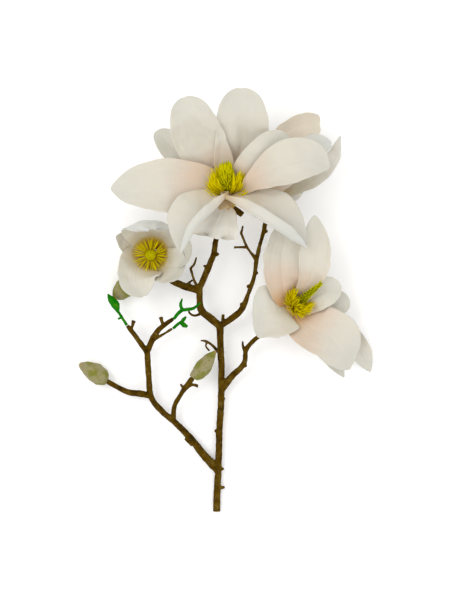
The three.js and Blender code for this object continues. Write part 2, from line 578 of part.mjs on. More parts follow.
// Needles set round a core by the golden turn, the outer ones leaning furthest.
// One that would touch a neighbour is left out.
function stamens(heart, axis, { core, count, length, lean }, neighbours) {
  const [radius, tall] = core;
  const foot = heart.clone().addScaledVector(axis, SEAT_GAP);
  const along = (h) => foot.clone().addScaledVector(axis, h);
  const [side, top] = square(axis);
  const swell = [radius * CORE_FOOT, radius, radius];
  const body = [stick([along(0), along(tall / 2), along(tall)], swell, TWIG_SIDES, tall / CORE_STEPS)];
  for (let i = 0; i < count; i += 1) {
    const share = (i + 0.5) / count;
    const turn = i * GOLDEN_TURN;
    const out = side.clone().multiplyScalar(Math.cos(turn)).addScaledVector(top, Math.sin(turn));
    const tilt = lean[1] + (lean[0] - lean[1]) * share;
    const reach = length[0] + (length[1] - length[0]) * share;
    const start = along(tall * (NEEDLE_LOWEST + NEEDLE_RANGE * share));
    start.addScaledVector(out, radius * NEEDLE_SINK);
    const aim = axis.clone().multiplyScalar(Math.cos(tilt)).addScaledVector(out, Math.sin(tilt));
    const middle = start.clone().addScaledVector(aim, reach * NEEDLE_BEND);
    const end = start.clone().addScaledVector(aim, reach).addScaledVector(axis, reach * NEEDLE_RISE);
    const needle = stick([start, middle, end], NEEDLE, STAMEN_SIDES, reach / 2);
    if (neighbours.every((other) => needle.minGap(other, 1) > SEAT_GAP)) body.push(needle);
  }
  return fused(body);
}

function cone(heart, axis, height, { radii, length }) {
  const foot = heart.clone().addScaledVector(axis, height);
  const points = radii.map((r, i) => foot.clone().addScaledVector(axis, (length * i) / (radii.length - 1)));
  return stick(points, radii, TWIG_SIDES, length / (radii.length - 1));
}

const group = new THREE.Group();
group.name = 'magnolia_branch';

const twigs = Object.values(TWIGS).map(({ spine, radii }) => {
  const sides = Math.max(...radii) > THIN_TWIG ? TWIG_SIDES : THIN_SIDES;
  return stick(places(spine), radii, sides);
});
const nubs = NUBS.map(([from, to, thick, thin]) => stick(places([from, to]), [thick, thin], THIN_SIDES));
addNode(group, 'woody_branch', BARK, fused([...twigs, ...nubs]));
Object.entries(BLOOMS).forEach(([name, bloom]) => addBloom(group, name, bloom));
Object.entries(FELTED_BUDS).forEach(([name, { twig, spine, radii }]) => {
  const bud = stick(grownFrom(twig, places(spine)), radii, TWIG_SIDES, GROWTH_STEP);
  addNode(group, `${name}_felted_bud`, FELT, bud);
});
Object.entries(SHOOTS).forEach(([name, { twig, sticks }]) => {
  const grown = sticks.map(([spine, radii], i) => {
    const points = i === 0 ? grownFrom(twig, places(spine)) : places(spine);
    return stick(points, radii, SHOOT_SIDES, GROWTH_STEP);
  });
  addNode(group, name, LEAF, fused(grown));
});

export default group;
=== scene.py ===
import bmesh
import bpy
import numpy as np
from mathutils import Matrix, Vector, noise


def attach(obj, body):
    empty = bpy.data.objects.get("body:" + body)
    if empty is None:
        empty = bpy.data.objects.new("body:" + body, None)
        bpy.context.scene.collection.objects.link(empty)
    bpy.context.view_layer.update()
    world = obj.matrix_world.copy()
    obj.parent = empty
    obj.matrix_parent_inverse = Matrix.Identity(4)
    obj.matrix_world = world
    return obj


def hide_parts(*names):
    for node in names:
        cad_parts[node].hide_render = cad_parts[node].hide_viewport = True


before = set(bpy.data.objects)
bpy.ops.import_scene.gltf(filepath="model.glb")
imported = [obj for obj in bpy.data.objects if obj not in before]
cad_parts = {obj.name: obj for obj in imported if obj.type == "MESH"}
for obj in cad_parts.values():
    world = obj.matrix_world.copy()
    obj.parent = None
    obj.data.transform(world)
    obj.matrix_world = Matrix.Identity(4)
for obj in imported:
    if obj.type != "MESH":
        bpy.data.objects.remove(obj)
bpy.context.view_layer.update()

# A cut magnolia branch on a table, seen from above. Shapes are worked out in millimetres.

MM = 0.001
GRID = 0.863                 # one square of the layout grid at the table
GRID_EYE = 2000.0            # height towards which the layout grid narrows; the camera stands there
GRID_MID_U, GRID_MID_V = 225.8, 302.7     # layout place of the origin
CAMERA_U, CAMERA_V = 225.0, 300.0         # layout place under the camera
FRAME_SQUARES = 600          # squares along the long side of the camera's frame
SENSOR = 36.0
SEAT_GAP = 0.3               # space left between a piece and the twig end that carries it
SEAT_RUN = 1.5               # how far a stick goes straight on from its seat


def vec(*xyz):
    return np.array(xyz, dtype=float)


def unit(v):
    return v / np.linalg.norm(v, axis=-1, keepdims=True)


def at(u, v, z):
    """The place in millimetres of layout place (u, v) at height z."""
    k = GRID * (1 - z / GRID_EYE)
    return vec((u - GRID_MID_U) * k, (GRID_MID_V - v) * k, z)


def along_layout(spine):
    return [at(*place) for place in spine]


def on_layout(places):
    """Layout place (u, v) of places in millimetres."""
    k = GRID * (1 - places[..., 2] / GRID_EYE)
    return places[..., 0] / k + GRID_MID_U, GRID_MID_V - places[..., 1] / k


def between(values, t):
    """Reads a list off evenly: t = 0 is its first entry, t = 1 its last."""
    values = np.asarray(values, dtype=float)
    where = np.clip(t, 0, 1) * (len(values) - 1)
    steps = np.arange(len(values))
    if values.ndim == 1:
        return np.interp(where, steps, values)
    return np.stack([np.interp(where, steps, column) for column in values.T], axis=-1)


class Spline:
    """A smooth curve through points."""

    def __init__(self, points, fineness=60):
        p = np.array(points, dtype=float)
        p = np.vstack([2 * p[0] - p[1], p, 2 * p[-1] - p[-2]])
        t = np.linspace(0, len(p) - 3, (len(p) - 3) * fineness + 1)
        i = np.minimum(t.astype(int), len(p) - 4)
        f = (t - i)[:, None]
        a, b, c, d = p[i], p[i + 1], p[i + 2], p[i + 3]
        self.points = 0.5 * (2 * b + (c - a) * f + (2 * a - 5 * b + 4 * c - d) * f**2
                             + (3 * b - a - 3 * c + d) * f**3)
        self.headings = unit(0.5 * ((c - a) + 2 * (2 * a - 5 * b + 4 * c - d) * f
                                    + 3 * (3 * b - a - 3 * c + d) * f**2))
        steps = np.linalg.norm(np.diff(self.points, axis=0), axis=1)
        run = np.concatenate([[0], np.cumsum(steps)])
        self.length = run[-1]
        self.share = run / run[-1]
        self.turn = t / t[-1]

    def even(self, s):
        """Places and headings at shares s of the length."""
        place = [np.interp(s, self.share, column) for column in self.points.T]
        heading = [np.interp(s, self.share, column) for column in self.headings.T]
        return np.stack(place, axis=-1), unit(np.stack(heading, axis=-1))

    def radii_at(self, radii, s):
        return between(radii, np.interp(s, self.share, self.turn))


# ---- meshes ----------------------------------------------

STEEP = 0.95                             # a heading that rises this much counts as upright
STICK_ROWS = 4                           # fewest rows of faces along a stick
LUMP_ALONG, LUMP_AROUND = 0.28, 1.1      # how fast lumps change along a stick and round it


def new_piece(name, places, faces, uv, material):
    """A smooth mesh object from places in millimetres."""
    mesh = bpy.data.meshes.new(name)
    mesh.from_pydata((places * MM).tolist(), [], faces)
    if uv is not None:
        corners = np.empty(len(mesh.loops), dtype=np.int32)
        mesh.loops.foreach_get("vertex_index", corners)
        mesh.uv_layers.new(name="along").data.foreach_set("uv", np.asarray(uv)[corners].ravel())
    mesh.shade_smooth()
    mesh.materials.append(material)
    piece = bpy.data.objects.new(name, mesh)
    bpy.context.scene.collection.objects.link(piece)
    return piece


def finished(piece, node):
    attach(piece, "root")
    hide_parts(node)


def square(heading):
    """Two unit vectors square to a heading; the first lies level wherever the heading allows it."""
    up = vec(0, 1, 0) if abs(heading[2]) > STEEP else vec(0, 0, 1)
    side = unit(np.cross(heading, up))
    return side, np.cross(side, heading)


def stick(points, radii, sides=20, step=1.0, lumps=0.0, seed=0):
    """A round stick bent along points: places, faces and a (turn, share) pair for each place."""
    spline = Spline(points)
    count = max(STICK_ROWS, int(spline.length / step))
    s = np.linspace(0, 1, count + 1)
    centre, heading = spline.even(s)
    r = spline.radii_at(radii, s)
    turn = np.linspace(0, 2 * np.pi, sides, endpoint=False)
    rows = []
    side = square(heading[0])[0]
    for k in range(count + 1):
        side = unit(side - heading[k] * side.dot(heading[k]))
        top = np.cross(side, heading[k])
        ring = np.outer(np.cos(turn), side) + np.outer(np.sin(turn), top)
        grow = np.ones(sides)
        if lumps:
            shift = Vector((seed, 0, 0))
            spots = [Vector(centre[k] * LUMP_ALONG + q * LUMP_AROUND) + shift for q in ring]
            grow += [lumps * noise.noise(spot) for spot in spots]
        rows.append(centre[k] + ring * (r[k] * grow)[:, None])
    places = np.vstack(rows + [centre[0], centre[-1]])
    faces = []
    for k in range(count):
        for j in range(sides):
            a, b = k * sides + j, k * sides + (j + 1) % sides
            faces.append((a, b, b + sides, a + sides))
    first, last = len(places) - 2, len(places) - 1
    top_row = count * sides
    for j in range(sides):
        faces.append((first, (j + 1) % sides, j))
        faces.append((last, top_row + j, top_row + (j + 1) % sides))
    uv = [(j / sides, s[k]) for k in range(count + 1) for j in range(sides)] + [(0.5, 0), (0.5, 1)]
    return places, faces, uv


def joined(parts):
    """The places and faces of several sticks in one, without their coordinates."""
    places, faces = [], []
    for stick_places, stick_faces, _ in parts:
        shift = sum(len(q) for q in places)
        places.append(stick_places)
        faces += [tuple(i + shift for i in face) for face in stick_faces]
    return np.vstack(places), faces, None


def plain_mesh(piece):
    """Turns what the modifiers make into the piece's own mesh."""
    made = piece.evaluated_get(bpy.context.evaluated_depsgraph_get())
    mesh = bpy.data.meshes.new_from_object(made)
    piece.modifiers.clear()
    piece.data = mesh
    return piece


def melted(piece, voxel):
    """Fuses the overlapping sticks of a piece into one skin."""
    remesh = piece.modifiers.new("melt", "REMESH")
    remesh.mode = "VOXEL"
    remesh.voxel_size = voxel * MM
    remesh.use_smooth_shade = True
    soften = piece.modifiers.new("soften", "SMOOTH")
    soften.factor = 0.5
    soften.iterations = 4
    return plain_mesh(piece)


def roughened(piece, layers):
    """Moves each vertex along its normal by layers of noise: (height in mm, bumps per mm)."""
    mesh = piece.data
    places = np.empty(len(mesh.vertices) * 3)
    normals = np.empty(len(mesh.vertices) * 3)
    mesh.vertices.foreach_get("co", places)
    mesh.vertex_normals.foreach_get("vector", normals)
    places = places.reshape(-1, 3)
    normals = normals.reshape(-1, 3)
    moved = np.zeros(len(places))
    for height, scale in layers:
        moved += [height * noise.noise(Vector(p / MM) * scale) for p in places]
    places += normals * (moved * MM)[:, None]
    places[:, 2] = np.maximum(places[:, 2], 0)
    mesh.vertices.foreach_set("co", places.ravel())
    mesh.update()


# ---- node graphs -----------------------------------------

def named(sockets, name, kind):
    """The socket of that name and kind; some nodes have several of one name."""
    return next(s for s in sockets if s.name == name and s.type == kind)


class Graph:
    """Short ways to build a tree of shader or geometry nodes."""

    def __init__(self, tree):
        self.tree = tree

    def feed(self, socket, value):
        if isinstance(value, bpy.types.NodeSocket):
            self.tree.links.new(value, socket)
        else:
            socket.default_value = value

    def node(self, kind, inputs=None, **settings):
        node = self.tree.nodes.new(kind)
        for name, value in settings.items():
            setattr(node, name, value)
        for name, value in (inputs or {}).items():
            self.feed(node.inputs[name], value)
        return node

    def math(self, operation, *values):
        node = self.node("ShaderNodeMath", operation=operation)
        for socket, value in zip(node.inputs, values):
            self.feed(socket, value)
        return node.outputs[0]

    def times(self, first, second):
        return self.math("MULTIPLY", first, second)


class Surface(Graph):
    """A material in the making: its shader, and the coordinates that its patterns follow."""

    def __init__(self, name, roughness, gloss=0.5):
        self.material = bpy.data.materials.new(name)
        self.material.use_nodes = True
        super().__init__(self.material.node_tree)
        self.shader = self.tree.nodes["Principled BSDF"]
        self.set({"Roughness": roughness, "Specular IOR Level": gloss})
        self.place = self.node("ShaderNodeTexCoord").outputs["Object"]
        uv = self.node("ShaderNodeUVMap", uv_map="along").outputs["UV"]
        split = self.node("ShaderNodeSeparateXYZ", {"Vector": uv}).outputs
        self.across, self.along = split["X"], split["Y"]

    def set(self, sockets):
        for name, value in sockets.items():
            self.feed(self.shader.inputs[name], value)

    def noise(self, pattern):
        scale, detail, roughness = PATTERNS[pattern]
        sockets = {"Vector": self.place, "Scale": scale, "Detail": detail, "Roughness": roughness}
        return self.node("ShaderNodeTexNoise", sockets).outputs["Fac"]

    def ramp(self, value, stops):
        node = self.node("ShaderNodeValToRGB", {"Fac": value})
        node.color_ramp.interpolation = "EASE"
        elements = node.color_ramp.elements
        while len(elements) < len(stops):
            elements.new(0.5)
        for element, (where, colour) in zip(elements, stops):
            element.position = where
            element.color = (*colour, 1)
        return node.outputs["Color"]

    def mask(self, value, low, high):
        """Rises softly from 0 where the value is low to 1 where it is high."""
        return self.ramp(value, [(low, (0, 0, 0)), (high, (1, 1, 1))])

    def blend(self, share, first, second):
        """Mixes two colours, each from the graph or fixed."""
        node = self.node("ShaderNodeMix", {"Factor": share}, data_type="RGBA")
        for name, colour in (("A", first), ("B", second)):
            value = (*colour, 1) if isinstance(colour, tuple) else colour
            self.feed(named(node.inputs, name, "RGBA"), value)
        return named(node.outputs, "Result", "RGBA")

    def painted(self, tint, relief=None, strength=0.0, depth=0.0):
        """The material with its colour and, if there is a relief, a bump of that depth in mm."""
        self.set({"Base Color": tint})
        if relief is not None:
            sockets = {"Height": relief, "Strength": strength, "Distance": depth * MM}
            self.set({"Normal": self.node("ShaderNodeBump", sockets).outputs["Normal"]})
        return self.material


# ---- materials -------------------------------------------

PATTERNS = dict(              # noise: bumps per metre, detail, roughness
    tepal_drift=(22.0, 2.0, 0.5),
    tepal_cloud=(55.0, 4.0, 0.5),
    tepal_waver=(60.0, 2.0, 0.5),
    tepal_fibre=(130.0, 3.0, 0.5),
    tepal_pore=(900.0, 3.0, 0.5),
    stamen_patch=(420.0, 3.0, 0.5),
    stamen_grain=(2600.0, 2.0, 0.5),
    bark_coarse=(140.0, 5.0, 0.6),
    bark_fine=(900.0, 5.0, 0.65),
    bark_grey=(260.0, 4.0, 0.7),
    lenticel=(700.0, 3.0, 0.5),
    wood_grain=(1500.0, 3.0, 0.5),
    felt_patch=(110.0, 3.0, 0.5),
    felt_speck=(700.0, 2.0, 0.5),
    felt_grain=(1400.0, 4.0, 0.5),
    green_patch=(190.0, 3.0, 0.5),
    green_grain=(1100.0, 3.0, 0.5),
)
IVORY = (0.63, 0.60, 0.52)
COOL_IVORY = (0.59, 0.585, 0.52)
SHADED_IVORY = (0.53, 0.525, 0.44)
# painted cool light on the outer face of a tepal
OUTER_PAINTED_LIGHT_IVORY = (0.60, 0.61, 0.575)
VEIN_IVORY = (0.60, 0.56, 0.44)
HALO_REACH = 40 * MM          # distance over which a tint spreads from a heart
DRIFT, CLOUD, VEIN = 0.16, 0.22, 0.07     # how much the tint strays, clouds over and shows veins
WAVER = 0.05                  # how far the veins stray, as a share of the width
LANES = 160.0                 # radians of the vein pattern across a tepal
GROWTH_RINGS = 34.0           # radians of the ring pattern from the pith to the bark


def tepal_material(name, tints, heart, chill):
    """Ivory, tinted towards the claw, with soft veins that run from claw to tip.

    With a heart, the tint follows the distance from it instead of the way along the tepal.
    Chill says how far the outer face turns cool towards the tip, as painted cool light.
    """
    look = Surface(name, roughness=0.52, gloss=0.32)
    look.set({"Subsurface Weight": 0.22, "Subsurface Radius": (1.0, 0.75, 0.5),
              "Subsurface Scale": 1.6 * MM, "Sheen Weight": 0.12})
    along = look.along
    if heart:
        apart = look.node("ShaderNodeVectorMath", {0: look.place, 1: heart}, operation="DISTANCE")
        along = look.times(apart.outputs["Value"], 1 / HALO_REACH)
    drift = look.noise("tepal_drift")
    reach = look.math("MULTIPLY_ADD", drift, DRIFT, look.math("ADD", along, -DRIFT / 2))
    tint = look.ramp(reach, tints)
    cloud = look.mask(look.noise("tepal_cloud"), 0.42, 0.7)
    tint = look.blend(look.times(cloud, CLOUD), tint, SHADED_IVORY)
    # Painted light: the outer face turns a cool, light ivory towards the tip.
    outer = look.node("ShaderNodeAttribute", attribute_name="outer").outputs["Fac"]
    tint = look.blend(look.times(outer, look.times(along, chill)), tint, OUTER_PAINTED_LIGHT_IVORY)
    bend = look.times(look.noise("tepal_waver"), WAVER)
    lane = look.times(look.math("ADD", look.across, bend), LANES)
    vein = look.math("MULTIPLY_ADD", look.math("SINE", lane), 0.5, 0.5)
    fine = look.times(vein, look.noise("tepal_fibre"))
    tint = look.blend(look.times(fine, VEIN), tint, VEIN_IVORY)
    relief = look.math("ADD", fine, look.times(look.noise("tepal_pore"), 0.5))
    return look.painted(tint, relief, strength=0.18, depth=0.25)


def stamen_material(name, root, middle, tip):
    """Golden from root to tip, in patches a little darker."""
    look = Surface(name, roughness=0.7, gloss=0.0)
    tint = look.ramp(look.along, [(0.0, root), (0.3, middle), (1.0, tip)])
    darker = (middle[0] * 0.45, middle[1] * 0.45, middle[2])
    tint = look.blend(look.times(look.noise("stamen_patch"), 0.35), tint, darker)
    return look.painted(tint, look.noise("stamen_grain"), strength=0.4, depth=0.1)


def bark_material():
    """Dark brown bark with lighter ridges and grey patches."""
    look = Surface("bark", roughness=0.86, gloss=0.03)
    coarse = look.noise("bark_coarse")
    fine = look.noise("bark_fine")
    tint = look.ramp(coarse, [(0.30, (0.028, 0.013, 0.001)), (0.5, (0.092, 0.047, 0.002)),
                              (0.68, (0.150, 0.095, 0.010))])
    grey = look.mask(look.noise("bark_grey"), 0.55, 0.72)
    tint = look.blend(look.times(grey, 0.35), tint, (0.23, 0.17, 0.045))
    tint = look.blend(look.times(fine, 0.45), tint, (0.036, 0.020, 0.001))
    relief = look.math("ADD", coarse, look.times(fine, 0.6))
    return look.painted(tint, relief, strength=0.7, depth=0.5)


def lenticel_material():
    look = Surface("lenticel", roughness=0.9)
    return look.painted(look.ramp(look.noise("lenticel"), [
        (0.3, (0.09, 0.06, 0.02)), (0.7, (0.22, 0.17, 0.09))]))


def cut_wood_material():
    """Pale wood with rings round the pith."""
    look = Surface("cut_wood", roughness=0.75)
    ring = look.math("SINE", look.times(look.along, GROWTH_RINGS))
    tint = look.ramp(look.math("MULTIPLY_ADD", ring, 0.5, 0.5), [
        (0.0, (0.42, 0.33, 0.17)), (1.0, (0.62, 0.53, 0.33))])
    return look.painted(tint, look.noise("wood_grain"), strength=0.4, depth=0.1)


def felt_material(name, lift):
    """Grey-beige felt with olive patches and dark specks, a little orange at the tip."""
    look = Surface(name, roughness=0.95, gloss=0.05)
    look.set({"Sheen Weight": 0.12, "Sheen Roughness": 0.6})
    beige = (0.30 * lift, 0.265 * lift, 0.13 * lift)
    olive = (0.20 * lift, 0.20 * lift, 0.03 * lift)
    tint = look.blend(look.mask(look.noise("felt_patch"), 0.40, 0.62), beige, olive)
    speck = look.mask(look.noise("felt_speck"), 0.60, 0.68)
    tint = look.blend(look.times(speck, 0.6), tint, (0.12, 0.11, 0.04))
    tip = look.mask(look.along, 0.93, 1.0)
    tint = look.blend(look.times(tip, 0.7), tint, (0.42, 0.22, 0.06))
    return look.painted(tint, look.noise("felt_grain"), strength=0.6, depth=0.25)


def green_material():
    look = Surface("green_shoot", roughness=0.5, gloss=0.04)
    tint = look.ramp(look.noise("green_patch"), [
        (0.35, (0.004, 0.135, 0.0005)), (0.62, (0.012, 0.19, 0.001)), (0.8, (0.12, 0.24, 0.004))])
    return look.painted(tint, look.noise("green_grain"), strength=0.35, depth=0.15)


# Colours from claw to tip, or from the heart outwards, each with the share of the way where it lies.
TEPAL_TINTS = {
    "ivory_tepal": [
        (0.04, (0.60, 0.36, 0.17)), (0.24, (0.64, 0.51, 0.40)), (0.58, IVORY), (1.0, COOL_IVORY)],
    "cup_tepal": [
        (0.22, (0.34, 0.19, 0.001)), (0.33, (0.48, 0.29, 0.002)), (0.40, (0.54, 0.40, 0.10)),
        (0.48, (0.55, 0.49, 0.36)), (0.72, IVORY), (1.0, COOL_IVORY)],
    "shaded_tepal": [
        (0.04, (0.34, 0.20, 0.05)), (0.30, (0.38, 0.33, 0.22)), (0.55, (0.46, 0.41, 0.32)),
        (0.78, (0.60, 0.56, 0.47)), (1.0, IVORY)],
    "claw_tepal": [
        (0.05, (0.34, 0.17, 0.02)), (0.14, (0.50, 0.34, 0.13)), (0.26, (0.62, 0.54, 0.42)),
        (0.5, IVORY), (1.0, COOL_IVORY)],
    "plain_tepal": [
        (0.0, (0.60, 0.50, 0.36)), (0.12, (0.62, 0.58, 0.49)), (0.4, IVORY), (1.0, COOL_IVORY)],
    # Warm ivory with painted light: brighter than the ivory, for a tepal that the front bloom shades.
    "warm_tepal": [
        (0.04, (0.56, 0.46, 0.32)), (0.30, (0.66, 0.58, 0.46)), (0.7, (0.71, 0.64, 0.53)),
        (1.0, (0.74, 0.68, 0.58))],
    # Painted light: a brighter ivory, for a tepal that lies in the shade of the claws above it.
    "bright_tepal": [
        (0.04, (0.60, 0.42, 0.20)), (0.14, (0.68, 0.61, 0.49)), (0.30, (0.73, 0.71, 0.64)),
        (1.0, (0.73, 0.71, 0.65))],
}
HEARTS = {"cup_tepal": (at(151, 256, 10) * MM).tolist()}
# How far painted cool light covers the outer face, for each material; CHILL for the rest.
CHILLS = {"shaded_tepal": 0.3, "warm_tepal": 0.1, "bright_tepal": 0.0}
CHILL = 0.9
GOLDS = {                     # root, middle and tip
    "golden_stamen": [(0.62, 0.42, 0.001), (0.79, 0.64, 0.001), (0.84, 0.72, 0.002)],
    "olive_style": [(0.34, 0.34, 0.001), (0.60, 0.60, 0.001), (0.78, 0.74, 0.002)],
    "front_style": [(0.40, 0.38, 0.001), (0.58, 0.55, 0.001), (0.68, 0.62, 0.002)],
    "olive_pistil": [(0.12, 0.13, 0.001), (0.20, 0.21, 0.001), (0.26, 0.26, 0.002)],
    "green_pistil": [(0.30, 0.30, 0.001), (0.42, 0.43, 0.001), (0.48, 0.48, 0.002)],
    "gold_pistil": [(0.28, 0.25, 0.001), (0.41, 0.37, 0.001), (0.48, 0.42, 0.002)],
    "tan_receptacle": [(0.10, 0.07, 0.01), (0.46, 0.27, 0.05), (0.62, 0.42, 0.12)],
}
MATERIALS = {
    "bark": bark_material(),
    "lenticel": lenticel_material(),
    "cut_wood": cut_wood_material(),
    "felt": felt_material("bud_felt", 1.0),
    "hair": felt_material("bud_hair", 1.35),
    "green": green_material(),
}
for name, tints in TEPAL_TINTS.items():
    MATERIALS[name] = tepal_material(name, tints, HEARTS.get(name), CHILLS.get(name, CHILL))
for name, tints in GOLDS.items():
    MATERIALS[name] = stamen_material(name, *tints)


# ---- growth rules ----------------------------------------

GOLDEN_TURN = 2.39996         # radians between one copy and the next


def new_tree(name, sockets):
    """An empty geometry tree with a Geometry input and the named ones: {label: kind}."""
    tree = bpy.data.node_groups.new(name, "GeometryNodeTree")
    for label, kind in {"Geometry": "Geometry", **sockets}.items():
        tree.interface.new_socket(label, in_out="INPUT", socket_type=f"NodeSocket{kind}")
    tree.interface.new_socket("Geometry", in_out="OUTPUT", socket_type="NodeSocketGeometry")
    graph = Graph(tree)
    return graph, graph.node("NodeGroupInput").outputs


def close_tree(graph, source, points, turn, size):
    """Sets the piece on the points, as real geometry in its own material."""
    piece = graph.node("GeometryNodeObjectInfo", {"Object": source["Piece"]}).outputs["Geometry"]
    placed = graph.node("GeometryNodeInstanceOnPoints", {
        "Points": points, "Instance": piece, "Rotation": turn, "Scale": size}).outputs[0]
    real = graph.node("GeometryNodeRealizeInstances", {"Geometry": placed}).outputs[0]
    dressed = graph.node("GeometryNodeSetMaterial", {"Geometry": real, "Material": source["Material"]})
    graph.node("NodeGroupOutput", {"Geometry": dressed.outputs[0]})
    return graph.tree


def whorl_tree():
    """Sets copies of a piece round a core by the golden turn, from its foot to its top."""
    pairs = [f"{end} {label}" for label in ("Radius", "Height", "Lean", "Length") for end in ("Foot", "Top")]
    graph, source = new_tree("whorl", {
        "Piece": "Object", "Material": "Material", "Count": "Int", "Spread": "Float", "Seed": "Int",
        **dict.fromkeys(pairs, "Float"),
    })
    index = graph.node("GeometryNodeInputIndex").outputs[0]
    share = graph.math("DIVIDE", graph.math("ADD", index, 0.5), source["Count"])
    loose = source["Spread"]

    def chance(offset):
        seed = graph.math("ADD", source["Seed"], offset)
        node = graph.node("FunctionNodeRandomValue", {"ID": index, "Seed": seed}, data_type="FLOAT")
        graph.feed(named(node.inputs, "Min", "VALUE"), -1.0)
        graph.feed(named(node.inputs, "Max", "VALUE"), 1.0)
        return named(node.outputs, "Value", "VALUE")

    def from_foot_to_top(label):
        gap = graph.math("SUBTRACT", source[f"Top {label}"], source[f"Foot {label}"])
        return graph.math("MULTIPLY_ADD", share, gap, source[f"Foot {label}"])

    turn = graph.math("ADD", graph.times(index, GOLDEN_TURN), graph.times(chance(1), loose))
    lean = graph.math("ADD", from_foot_to_top("Lean"), graph.times(chance(2), loose))
    size = graph.times(from_foot_to_top("Length"), graph.math("MULTIPLY_ADD", chance(3), loose, 1.0))
    radius = from_foot_to_top("Radius")
    spot = graph.node("ShaderNodeCombineXYZ", {
        "X": graph.times(graph.math("COSINE", turn), radius),
        "Y": graph.times(graph.math("SINE", turn), radius),
        "Z": from_foot_to_top("Height"),
    }).outputs[0]
    tilt = graph.node("ShaderNodeCombineXYZ", {"Y": lean, "Z": turn}).outputs[0]
    points = graph.node("GeometryNodePoints", {"Count": source["Count"], "Position": spot}).outputs[0]
    return close_tree(graph, source, points, tilt, size)


def cover_tree():
    """Scatters copies of a piece over a skin, leaning from its normal towards a grain direction."""
    graph, source = new_tree("cover", {
        "Piece": "Object", "Material": "Material", "Density": "Float", "Length": "Float",
        "Spread": "Float", "Grain": "Vector", "Flatness": "Float", "Seed": "Int",
    })

    def scaled(vector, share):
        return graph.node("ShaderNodeVectorMath", {0: vector, "Scale": share}, operation="SCALE").outputs[0]

    scatter = graph.node("GeometryNodeDistributePointsOnFaces", {
        "Mesh": source["Geometry"], "Density": source["Density"], "Seed": source["Seed"]})
    jitter = graph.node("FunctionNodeRandomValue", {"Seed": source["Seed"]}, data_type="FLOAT_VECTOR")
    graph.feed(named(jitter.inputs, "Min", "VECTOR"), (-1, -1, -1))
    grain = scaled(source["Grain"], source["Flatness"])
    stray = scaled(named(jitter.outputs, "Value", "VECTOR"), source["Spread"])
    heading = scatter.outputs["Normal"]
    for extra in (grain, stray):
        heading = graph.node("ShaderNodeVectorMath", {0: heading, 1: extra}, operation="ADD").outputs[0]
    turned = graph.node("FunctionNodeAlignRotationToVector", {"Vector": heading}, axis="Z").outputs[0]
    return close_tree(graph, source, scatter.outputs["Points"], turned, source["Length"])


def grown(name, tree, settings, skin=None):
    """A piece made by a growth rule, as a plain mesh; skin is the mesh it grows on, if it needs one."""
    mesh = skin.data.copy() if skin else bpy.data.meshes.new(name)
    piece = bpy.data.objects.new(name, mesh)
    bpy.context.scene.collection.objects.link(piece)
    grow = piece.modifiers.new("grow", "NODES")
    grow.node_group = tree
    for socket in tree.interface.items_tree:
        if socket.in_out == "INPUT" and socket.name in settings:
            grow[socket.identifier] = settings[socket.name]
    return plain_mesh(piece)


# ---- tepals ----------------------------------------------

TEPAL_THICK, TEPAL_EDGE = 0.8, 0.4
TEPAL_ROWS, TEPAL_COLS = 76, 44
ROW_CROWDING = 1.6            # how closely the rows crowd towards the tip
TIP_ROW, TIP_HALF = 0.9985, 0.3          # where the last row lies, and its half width
CLAW_INSET, CLAW_SINK = 0.4, 2.5         # how far a claw stands inside the receptacle's edge and below it
CLAW_ROLL, ROLL_RISE = 0.3, 2.2          # share of the cup at the claw, and how fast it grows to the full cup
SETTLING = 2.5                # how soon a tepal shows its full rumple, counted from the claw
NOISE_LIFT, SEED_SHIFT = 1.4, 17.3       # brings noise to about 1; sets the seeds well apart
STRAYS_ALONG = 7              # bumps of the ragged outline from claw to tip
RAGGED = 0.03                 # share by which the outline strays
GROOVE_HALF = 0.22            # half width of a groove, as a share of the tepal's
RIB, RIB_HALF = 0.35, 0.05    # depth and half width of the line along the middle
RUMPLE, PUCKER, FRILL, PLEAT = 0.8, 0.3, 0.9, 0.055          # heights in millimetres
RUMPLE_SCALE, PUCKER_SCALE, FRILL_SCALE, PLEAT_SCALE = 0.06, 0.16, 0.11, 0.05   # bumps per mm
PLEATS, PLEAT_WAVER = 26, 2   # radians of pleats over half a tepal, and how far they stray

ROUND = dict(belly=0.6, open=0.7, close=2.4, point=0.5)
POINTED = dict(belly=0.52, open=0.65, close=1.9, point=0.8)
SPOON = dict(belly=0.7, open=0.6, close=3, point=0.4)


def outline(s, belly, open, close, point):
    """Share of the full half width: it opens up to the belly, then closes to the tip."""
    opening = np.sin(np.pi / 2 * np.minimum(s / belly, 1)) ** open
    closing = (1 - np.clip((s - belly) / (1 - belly), 0, 1) ** close) ** point
    return np.where(s < belly, opening, closing)


def noise_at(places, scale, seed):
    """Soft noise between about -1 and 1 at places in millimetres; scale is bumps per millimetre."""
    flat = np.asarray(places).reshape(-1, 3) * scale + seed * SEED_SHIFT
    values = np.array([noise.noise(Vector(p)) for p in flat])
    return values.reshape(np.shape(places)[:-1]) * NOISE_LIFT


def face_normals(places):
    rows = np.gradient(places, axis=0)
    cols = np.gradient(places, axis=1)
    return unit(np.cross(cols, rows))


